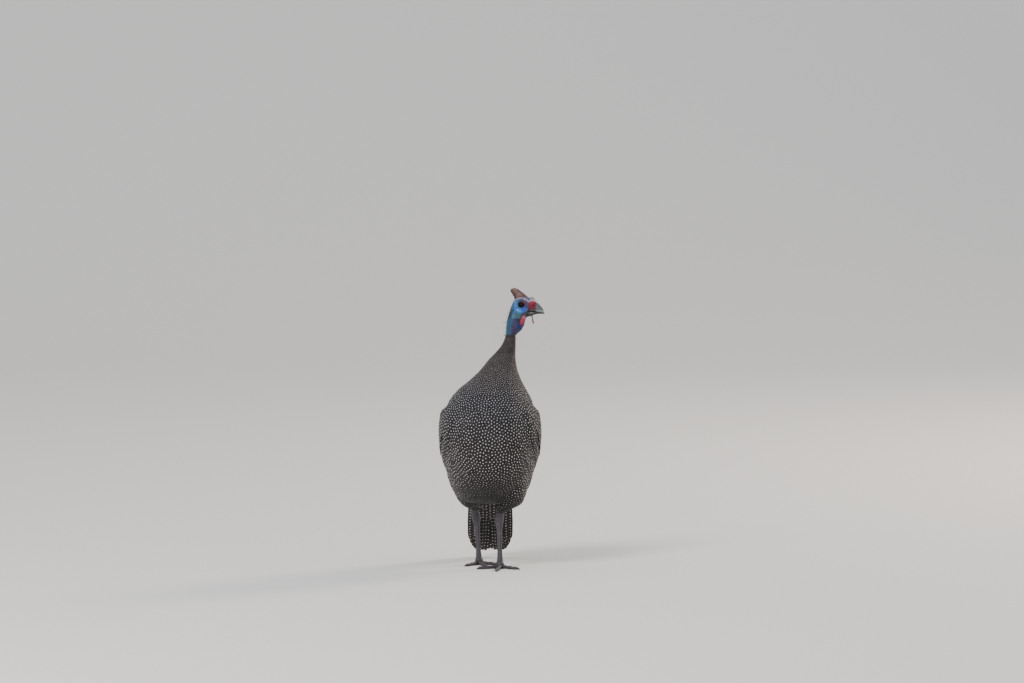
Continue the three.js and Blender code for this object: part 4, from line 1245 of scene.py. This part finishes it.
SKIN = skin_finish("bare_skin", 1300.0, 0.00016, 0.5, Specular_IOR_Level=0.38, Subsurface_Weight=0.05,
                   Subsurface_Scale=0.001)
HORN = skin_finish("horn", 700.0, 0.00008, 0.35, Specular_IOR_Level=0.4)


def head_grid():
    angle = full_turn(HEAD_SIDES)
    head_rows = np.linspace(head_skin.row_at(-61.5), head_skin.last - 0.02, 190)
    body_rows = np.linspace(body.row_at(NECK_START), body.row_at(NECK_END), 24)
    body_heights = read_rows(BODY_ROWS, body_rows)[:, 0]
    head_heights = read_rows(HEAD_ROWS, head_rows)[:, 0] + EYE_LEVEL[2]
    heights = np.concatenate([body_heights, head_heights])
    row_of_body = np.concatenate([body_rows, body.row_at(head_heights)])
    row_of_head = np.concatenate([head_skin.row_at(body_heights - EYE_LEVEL[2]), head_rows])
    on_body = body.base(row_of_body[:, None], angle)
    on_head = from_head(head_skin.base(row_of_head[:, None], angle - HEAD_TURN))
    share = smooth(412, 434, heights)[:, None, None]
    grid = on_body * (1 - share) + on_head * share
    grid[..., 2] = heights[:, None]
    inset = 1.1 * smooth(425, 414, heights)
    return relieved(grid, -inset[:, None])


def cere_grid():
    x, height, deep, half = even_rows(CERE_ROWS, 60).T
    return from_head(limb_grid(np.stack([x, 0 * x, height], -1), half, deep, [1, 0, 0], [0, 0, 1], 72))


def wattle_grid(side):
    form = WATTLES[side]
    root, tip = np.array(form["root"], float), np.array(form["tip"], float)
    t, share, thick = even_rows(WATTLE_ROWS, 50).T
    at = root + (tip - root) * t[:, None]
    return from_head(limb_grid(at, thick, form["wide"] * share, unit(tip - root), form["broad"], 48))


def relieved(grid, relief):
    return grid + ring_normals(grid) * relief[..., None]


def whole_skin():
    """Head, neck, body, thighs and the cores of wings and tail in one closed surface."""
    upper = joined_form([head_grid(), cere_grid(), wattle_grid("left"), wattle_grid("right")], HEAD_VOXEL, 3)
    lower = joined_form(form_grids(0.5, NECK_MEET), BODY_VOXEL, 6)
    skin = mesh_object("skin_form", upper[0], [upper[1]])
    rest = mesh_object("skin_rest", lower[0], [lower[1]])
    union = skin.modifiers.new("union", "BOOLEAN")
    union.operation = "UNION"
    union.solver = "MANIFOLD"
    union.object = rest
    points, triangles = evaluated(skin)
    bpy.data.objects.remove(skin)
    bpy.data.objects.remove(rest)
    normals = np.zeros_like(points)
    corners = points[triangles]
    faces = np.cross(corners[:, 1] - corners[:, 0], corners[:, 2] - corners[:, 0])
    for corner in range(3):
        np.add.at(normals, triangles[:, corner], faces)
    normals = unit(normals)
    local = to_head(points)
    bare = smooth(421, 429, points[:, 2])
    head = points[:, 2] > 420
    relief = np.zeros(len(points))
    relief[head] = skin_relief(local[head]) * bare[head]
    colours = np.ones(points.shape) * np.array([0.013, 0.011, 0.012])
    colours[head] += (skin_colours(local[head]) - colours[head]) * bare[head, None]
    made = mesh_object("skin", points + normals * relief[:, None], [triangles], SKIN, None, {"skin": colours})
    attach(made, "root")
    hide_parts("head", "cere", "wattle_left", "wattle_right", "torso", "thigh_left", "thigh_right")


def joined_piece(name, parts, finish, slot, *nodes):
    """Closed surfaces in one object, which stands for nodes of the solids."""
    shades = np.concatenate([ring_points(colours) for _, colours in parts])
    made = mesh_object(name, *gathered([grid for grid, _ in parts]), finish, None, {"skin": shades})
    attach(made, "root")
    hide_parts(*nodes)


HELMET_ROWS = [
    [5, -16.6, 12.6, 7, 0], [10, -17.2, 12, 6.3, 0], [13.4, -18.4, 9, 5.6, 0], [17, -21, 4.6, 5, 0],
    [20.6, -23.2, -0.4, 4.3, 0], [23.8, -24.5, -4.9, 3.6, 0], [26.6, -23.2, -9.6, 2.7, 0],
    [28.2, -20, -13.4, 1.5, 0], [28.7, -17.4, -16, 0, 0],
]


def helmet():
    """Rough horn with upright grain, pale along its front edge."""
    skin = Skin(HELMET_ROWS, -0.1)
    angle = full_turn(144)[None, :]
    rows = np.linspace(0, skin.last - 0.03, 130)[:, None]
    grid = skin.base(rows, angle)
    x, _, z = np.moveaxis(grid, -1, 0)
    front, back = np.maximum(np.cos(angle), 0), np.maximum(-np.cos(angle), 0)
    leaning = np.stack([x + 0.55 * z, grid[..., 1], z * 0.22], -1)
    grain = mottle(leaning, 0.75)
    lumps = mottle(grid, 3.4)
    pits = smooth(0.35, 0.7, mottle(grid, 1.3))
    relief = (0.10 * grain + 0.28 * lumps - 0.14 * pits) * smooth(28.5, 25, z)
    tint = Tint(grid.shape, (0.105, 0.052, 0.040))
    tint.lay(smooth(14, 7, z) * smooth(-16, -4, x) * 0.8, (0.17, 0.075, 0.10))
    tint.lay(bell(np.hypot((x + 9) / 5, (z - 16) / 4), 1) * 0.55, (0.19, 0.095, 0.11))
    tint.lay(smooth(0.15, 0.9, back) * smooth(27, 21, z) * 0.85, (0.028, 0.019, 0.015))
    tint.lay(smooth(0.95, 0.99, front) * smooth(6, 10, z), (0.62, 0.47, 0.41))
    tint.lay(smooth(25.8, 28.4, z) * 0.5, (0.36, 0.23, 0.18))
    tint.lay(pits * 0.35, (0.05, 0.03, 0.022))
    tint.vary(0.22 * grain + 0.22 * lumps)
    parts = [(from_head(relieved(grid, relief)), tint.colour)]
    joined_piece("helmet_horn", parts, HORN, "helmet_horn", "helmet")


# Slices of the bill: forward, top, bottom and half width
UPPER_BILL = [[9, -4, -12.5, 8], [13, -3, -12.8, 8], [18, 0, -13, 7.4], [23.2, 4, -13.1, 6.6],
              [25.4, 4.4, -13.2, 6.6], [29, 2.4, -13.5, 5.9], [33.6, -2.4, -14, 4.6], [37, -6.8, -14.9, 3.2],
              [39.4, -11.4, -16.2, 1.9], [41.1, -16.4, -18, 0.6]]
LOWER_BILL = [[6, -12.6, -24, 8.8], [14, -12.8, -21.2, 7.6], [20.5, -13, -18.9, 6.3],
              [26.5, -13.1, -17.4, 5.1], [32, -13.6, -16.9, 3.8], [36.6, -14.6, -17, 2.1],
              [38.6, -15.6, -17.1, 0.9]]


def bill_grid(rows, boxed):
    """Rings along the bill. The side of each that meets the other half, below for -1, is squared."""
    x, top, bottom, half = even_rows(rows, 130).T
    angle = full_turn(112)[None, :]
    up, out = np.cos(angle), np.sin(angle)
    squared = up * boxed > 0
    up = np.where(squared, boxed * np.abs(up) ** 0.45, up)
    out = np.where(squared, np.sign(out) * np.abs(out) ** 0.62, out * (1 - 0.2 * np.abs(up) ** 2))
    middle, deep = (top + bottom) / 2, (top - bottom) / 2
    return np.stack([x[:, None] + 0 * up, half[:, None] * out, middle[:, None] + deep[:, None] * up], -1), up


def bill():
    grid, up = bill_grid(UPPER_BILL, -1)
    x, _, z = np.moveaxis(grid, -1, 0)
    grain = mottle(np.stack([x * 0.3, grid[..., 1], z + 0.45 * x], -1), 0.8)
    tint = Tint(grid.shape, (0.085, 0.105, 0.115))
    tint.lay(smooth(28, 23, x) * 0.85, (0.04, 0.034, 0.042))
    tint.lay(bell(z + 11.6, 1.6) * smooth(24, 28, x) * 0.8, (0.26, 0.33, 0.30))
    tint.lay(bell(z + 14.2, 0.8) * 0.8, (0.02, 0.02, 0.02))
    tint.lay(np.maximum(smooth(0.86, 0.98, up + 0 * x), smooth(37.5, 40.8, x) * 0.9), (0.62, 0.55, 0.50))
    tint.vary(0.16 * grain)
    upper = from_head(relieved(grid, 0.05 * grain + 0.05 * mottle(grid, 2.5)))
    joined_piece("bill_horn_upper", [(upper, tint.colour)], HORN, "bill_horn", "bill_upper")
    grid, up = bill_grid(LOWER_BILL, 1)
    x, _, z = np.moveaxis(grid, -1, 0)
    grain = mottle(np.stack([x * 0.3, grid[..., 1], z - 0.3 * x], -1), 0.8)
    tint = Tint(grid.shape, (0.022, 0.022, 0.026))
    tint.lay(bell(np.hypot((x - 17.5) / 3.4, (z + 14.9) / 1.0), 1) * 0.75, (0.24, 0.25, 0.23))
    tint.lay(smooth(30, 37, x) * smooth(-17, -15.5, z) * 0.6, (0.24, 0.22, 0.2))
    tint.lay(smooth(-19.5, -22, z) * 0.5, (0.06, 0.035, 0.03))
    tint.vary(0.16 * grain)
    lower = from_head(relieved(grid, 0.05 * grain))
    joined_piece("bill_horn_lower", [(lower, tint.colour)], HORN, "bill_horn", "bill_lower")


def eye_finish():
    made = Finish("wet_eye", Roughness=0.16, Coat_Weight=0.04, Coat_Roughness=0.05, Specular_IOR_Level=0.1)
    return made.done(made.tint("skin").outputs["Color"])


WET_EYE = eye_finish()


def eye(side):
    """A ball with a dark pupil and streaked brown iris, and a cornea that bulges a little."""
    way = SIDES[side]
    turn = np.linspace(0.02, math.pi - 0.02, 72)
    radius = EYE["radius"] * (1 + 0.03 * smooth(0.8, 0.3, turn))
    at = np.stack([0 * turn + EYE["forward"], way * (EYE["side"] + radius * np.cos(turn)),
                   0 * turn + EYE["height"]], -1)
    grid = limb_grid(at, radius * np.sin(turn), radius * np.sin(turn), [0, way, 0], [0, 0, 1], 96)
    angle = full_turn(96)[None, :]
    turn = turn[:, None] + 0 * angle
    tint = Tint(grid.shape, (0.016, 0.008, 0.005))
    tint.vary(0.3 * np.sin(31 * angle + 2 * np.sin(7 * angle)) + 0.2 * np.sin(53 * angle) + 0 * turn)
    tint.lay(smooth(0.42, 0.38, turn), (0.001, 0.001, 0.0015))
    tint.lay(smooth(0.74, 0.84, turn), (0.006, 0.004, 0.004))
    joined_piece(f"eyeball_{side}", [(from_head(grid), tint.colour)], WET_EYE, "eye", f"eye_{side}")


def hair_finish():
    made = Finish("nape_bristles", Roughness=0.5, Specular_IOR_Level=0.4)
    return made.done(made.blend(made.noise(300.0, 2.0), rgb(0.012, 0.009, 0.008), rgb(0.06, 0.035, 0.022)))


# Bristles down the nape: how many, heights, spread round it, lengths, radius and droop, for most of them and
# for a few long ones
BRISTLES = [
    {"count": 90, "heights": [-57, -4], "turn": 0.34, "lengths": [3.0, 6.5], "radius": 0.11, "fall": -0.55},
    {"count": 4, "heights": [-35, -32.5], "turn": 0.12, "lengths": [10, 13], "radius": 0.14, "fall": 0.02},
]


def nape_bristles():
    grids = []
    t = np.linspace(0, 1, 6)
    for kind in BRISTLES:
        for _ in range(kind["count"]):
            row = np.array(head_skin.row_at(DRAWS.uniform(*kind["heights"])))
            turn = np.array(math.pi + DRAWS.normal(0, kind["turn"]))
            root = head_skin.point(row, turn, -0.4)
            length = DRAWS.uniform(*kind["lengths"])
            droop = np.array([0, 0, kind["fall"]])
            way = unit(head_skin.frame(row, turn)[2] + droop + DRAWS.normal(0, 0.14, 3))
            bend = np.array([-0.1, 0, kind["fall"] * 0.6]) * length
            path = root + way * (length * t)[:, None] + bend * (t ** 2)[:, None]
            radius = kind["radius"] * (1 - 0.8 * t)
            grids.append(from_head(limb_grid(path, radius, radius, way, [0.1, 1, 0.2], 4)))
    made = mesh_object("nape_bristles", *gathered(grids), hair_finish())
    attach(made, "root")


whole_skin()
helmet()
bill()
for side in SIDES:
    eye(side)
nape_bristles()


# Legs: plated shanks, toes with plates across their tops and pads below, and horn claws
SHANK_ROWS = [
    [106, 5.2, 5.6, 7, 4], [100, 6.9, 7.6, 4.8, 2.6], [92, 7.6, 8.2, 2, 1], [84, 7.9, 8.1, 0, 0],
    [77, 6.3, 6.9, 0, 0], [69, 4.9, 5.6, 0, 0], [57, 4.3, 5.0, 0, 0], [44, 4.05, 4.85, 0, 0],
    [30, 4.2, 5.0, 0, 0], [19, 4.8, 5.5, 0, 0], [10, 5.7, 6.1, 0, 0], [6, 5.6, 6.0, 0, 0],
]
TOES = {"inner": [38, 3.8, 10], "middle": [52, 4.3, 12], "outer": [37, 3.8, 10]}
HIND_TOE = {"length": 16, "girth": 2.8, "claw": 7, "root": 15, "fall": 6}
HUB = {"radii": [8.2, 7.4, 7.6], "height": 7.2}
CLAW_ROWS = [[-0.14, 2.3, 0.1], [0, 2.45, 0], [0.4, 2.1, -0.2], [0.75, 1.3, -0.9], [1, 0.4, -1.7]]
SHANK_PLATE = 4.4
TOE_PLATE = 2.5


def plates(run, pitch):
    """Overlapping plates: each thickens down its run and then drops to the next, with a seam between."""
    share = np.mod(run / pitch, 1.0)
    return share ** 0.8 * smooth(1.0, 0.9, share), smooth(0.86, 0.97, share) + smooth(0.07, 0.0, share)


def leg_colours(grid, seam):
    tint = Tint(grid.shape, (0.046, 0.041, 0.050))
    tint.lay(smooth(-0.3, 0.6, mottle(grid, 5.0)) * 0.5, (0.072, 0.065, 0.073))
    tint.lay(np.clip(seam, 0, 1) * 0.5, (0.17, 0.155, 0.16))
    tint.vary(0.18 * mottle(grid, 1.1))
    return tint.colour


def turned(sides, like):
    """Angles round a limb, from its upper or front side, between minus and plus half a turn."""
    angle = np.linspace(-math.pi, math.pi, sides, endpoint=False)
    return np.roll(angle, sides // 2)[None, :] + 0 * like[:, None]


def heading(foot, name):
    turn = math.radians(foot["toes"][name])
    return np.array([math.cos(turn), math.sin(turn), 0.0])


def on_floor(grid):
    grid[..., 2] = np.maximum(grid[..., 2], 0)
    return grid


def shank_grid(side):
    foot, way = FEET[side], SIDES[side]
    hock = np.array([foot["forward"] - foot["back"], foot["side"] + foot["out"], HOCK_HEIGHT])
    ankle = np.array([foot["forward"] - 1.0, foot["side"], 8.0])
    along = unit(ankle - hock)
    height, half, deep, forward, left = even_rows(SHANK_ROWS, 300).T
    at = ankle + along * ((height - ankle[2]) / along[2])[:, None]
    at = at + np.stack([forward, left * way, 0 * height], -1)
    grid = limb_grid(at, half, deep, [0, 0, -1], [1, 0, 0], 112)
    angle = turned(112, height)
    z = height[:, None] + 0 * angle
    column = np.where(angle > 0, 0.5, 0.0)
    size, seam = plates(-z + column * SHANK_PLATE + 1.2 * np.abs(angle), SHANK_PLATE)
    front = smooth(1.9, 1.5, np.abs(angle))
    middle = bell(angle, 0.07) * smooth(82, 76, z)
    back_size, back_seam = plates(-z + 2.2 * np.abs(np.mod(angle * 4, 1) - 0.5), 2.3)
    columns = bell(np.mod(angle * 2.6, 1) - 0.5, 0.12)
    relief = front * (0.45 * size - 0.3 * middle) + (1 - front) * (0.2 * back_size - 0.15 * columns)
    knob = bell(z - 85, 7)
    relief = relief * (1 - 0.4 * knob) + 0.15 * knob * mottle(grid, 2.0)
    fade = smooth(104, 98, z) * smooth(6, 12, z)
    seams = front * np.maximum(seam, middle) + (1 - front) * 0.6 * np.maximum(back_seam, columns)
    return relieved(grid, relief * fade), leg_colours(grid, seams * fade)


def plated_toe(at, half, deep, way, run, sides, rise, pads):
    """A toe with plates across its top, and pads below where they are wanted."""
    grid = limb_grid(at, half, deep, way, [0, 0, 1], sides)
    angle = turned(sides, run)
    size, seam = plates(run[:, None] + 0.5 * angle ** 2, TOE_PLATE)
    top = smooth(1.5, 1.15, np.abs(angle))
    relief = top * rise * size + (1 - top) * pads * mottle(grid, 1.3)
    return relieved(grid, relief), leg_colours(grid, top * seam)


def toe_grid(side, name):
    foot = FEET[side]
    way = heading(foot, name)
    length, girth, _ = TOES[name]
    t = np.linspace(0.0, 1.012, 150)
    joints = 0.07 * np.cos(2 * math.pi * t * 3.2) + 1.0
    radius = girth * (1 - 0.32 * t) * joints * (1 - smooth(0.97, 1.012, t) * 0.35)
    at = np.array([foot["forward"], foot["side"], 0.0]) + way * (length * t)[:, None]
    at[:, 2] = radius * 0.86
    grid, colours = plated_toe(at, radius, radius * 0.95, way, t * length, 64, 0.32, 0.22)
    return on_floor(grid), colours


def hub_grid(side):
    foot = FEET[side]
    turn = np.linspace(0.03, math.pi - 0.03, 60)
    deep, half, tall = HUB["radii"]
    level = HUB["height"] + tall * np.cos(turn)
    at = np.stack([0 * turn + foot["forward"], 0 * turn + foot["side"], level], -1)
    grid = limb_grid(at, half * np.sin(turn), deep * np.sin(turn), [0, 0, -1], [1, 0, 0], 72)
    cells = mottle(grid, 1.5)
    return on_floor(relieved(grid, 0.25 * cells)), leg_colours(grid, bell(cells, 0.15) * 0.5)


def hind_toe_grid(side):
    foot = FEET[side]
    way = heading(foot, "hind")
    t = np.linspace(0, 1.03, 70)
    at = np.array([foot["forward"], foot["side"], HIND_TOE["root"]]) + way * (HIND_TOE["length"] * t)[:, None]
    at[:, 2] -= HIND_TOE["fall"] * t * t
    radius = HIND_TOE["girth"] * np.interp(t, [0, 0.1, 0.45, 0.8, 1.03], [1.05, 1, 0.9, 0.95, 0.68])
    return plated_toe(at, radius, radius, way, t * HIND_TOE["length"], 48, 0.25, 0.0)


def claw_grid(root, way, length):
    t, radius, fall = even_rows(CLAW_ROWS, 60).T
    at = root + way * (length * t)[:, None]
    at[:, 2] += fall
    grid = limb_grid(at, radius * 0.8, radius, way, [0, 0, 1], 40)
    angle = turned(40, t)
    ridge = 0.12 * bell(angle, 0.3) - 0.12 * bell(np.abs(angle) - 1.6, 0.3)
    grid = on_floor(relieved(grid, ridge + 0.04 * mottle(grid, 0.9)))
    tint = Tint(grid.shape, (0.040, 0.034, 0.033))
    tint.lay(smooth(0.2, -0.05, t)[:, None] * 0.6 + bell(angle, 0.5) * 0.35, (0.15, 0.12, 0.105))
    tint.vary(0.15 * mottle(grid, 1.4))
    return grid, tint.colour


SCALE = skin_finish("leg_scales", 900.0, 0.0001, 0.5, Specular_IOR_Level=0.35)


def leg(side):
    foot = FEET[side]
    parts = [shank_grid(side), hub_grid(side), hind_toe_grid(side)]
    parts += [toe_grid(side, name) for name in TOES]
    names = [*TOES, "hind"]
    joined_piece(f"leg_{side}", parts, SCALE, "leg_scale", f"shank_{side}", f"foot_{side}",
                 *[f"toe_{name}_{side}" for name in names])
    centre = np.array([foot["forward"], foot["side"], 2.9])
    claws = [claw_grid(centre + heading(foot, name) * (length + 0.3), heading(foot, name), claw)
             for name, (length, _, claw) in TOES.items()]
    centre[2] = HIND_TOE["root"] - HIND_TOE["fall"] - 0.2
    way = heading(foot, "hind")
    claws.append(claw_grid(centre + way * (HIND_TOE["length"] + 0.3), way, HIND_TOE["claw"]))
    joined_piece(f"claws_{side}", claws, HORN, "claw_horn", *[f"claw_{name}_{side}" for name in names])


for side in SIDES:
    leg(side)


# Stage, light and camera. The photo's rows and columns say where the floor and the bird stand in it.
PHOTO_SCALE = 1.8 * MM
PHOTO_WIDTH, PHOTO_HEIGHT = 1024, 683
FLOOR_ROW = 568.8
BIRD_COLUMN = 490
AIM_FORWARD = -0.039
CAMERA_RISE = math.radians(5)
LENS, SENSOR = 300, 36
SWEEP = {"front": 9, "bend": -4, "radius": 3, "reach": 9}
LIGHTS = {
    "key": {"place": (-2.4, -3.6, 3.6), "size": 1.6, "power": 210, "colour": (1.0, 0.98, 0.95)},
    "rim": {"place": (3.0, 2.2, 2.0), "size": 1.2, "power": 110, "colour": (1.0, 0.84, 0.66)},
}
LIGHT_AIM = (0.0, 0.0, 0.3)


def sweep():
    """A pale floor that curves up into a wall far behind."""
    front, bend, turn, reach = SWEEP["front"], SWEEP["bend"], SWEEP["radius"], SWEEP["reach"]
    profile = [[front, 0], [bend, 0]]
    profile += [[bend - turn * math.sin(a), turn - turn * math.cos(a)] for a in np.linspace(0.1, 1.57, 12)]
    profile += [[bend - turn, reach]]
    points = np.array([[x, y, z] for x, z in profile for y in (-reach, reach)]) / MM
    faces = [[2 * i, 2 * i + 1, 2 * i + 3, 2 * i + 2] for i in range(len(profile) - 1)]
    paint = Finish("studio", Roughness=0.9)
    paint.done(rgb(0.8, 0.79, 0.77))
    made = mesh_object("studio_floor", points, [np.array(faces)], paint.material)


def light(name, place, size, power, colour):
    lamp = bpy.data.lights.new(name, "AREA")
    lamp.shape = "DISK"
    lamp.size = size
    lamp.energy = power
    lamp.color = colour
    made = bpy.data.objects.new(name, lamp)
    made.location = place
    made.rotation_euler = (Vector(LIGHT_AIM) - Vector(place)).to_track_quat("-Z", "Y").to_euler()
    bpy.context.scene.collection.objects.link(made)


def studio():
    sweep()
    world = bpy.data.worlds.new("soft")
    world.use_nodes = True
    world.node_tree.nodes["Background"].inputs["Color"].default_value = rgb(0.93, 0.95, 1.0)
    world.node_tree.nodes["Background"].inputs["Strength"].default_value = 0.75
    bpy.context.scene.world = world
    for name, values in LIGHTS.items():
        light(name, **values)


def camera():
    lens = bpy.data.cameras.new("camera")
    lens.lens = LENS
    lens.sensor_width = SENSOR
    lens.clip_end = 60
    made = bpy.data.objects.new("camera", lens)
    left = (PHOTO_WIDTH / 2 - BIRD_COLUMN) * PHOTO_SCALE + FLOOR_SHIFT[0] * MM
    middle = (left, AIM_FORWARD, (FLOOR_ROW - PHOTO_HEIGHT / 2) * PHOTO_SCALE)
    distance = LENS / SENSOR * PHOTO_WIDTH * PHOTO_SCALE
    made.location = Vector(middle) + distance * Vector((0, -math.cos(CAMERA_RISE), math.sin(CAMERA_RISE)))
    made.rotation_euler = (math.pi / 2 - CAMERA_RISE, 0, 0)
    bpy.context.scene.collection.objects.link(made)
    bpy.context.scene.camera = made


studio()
camera()
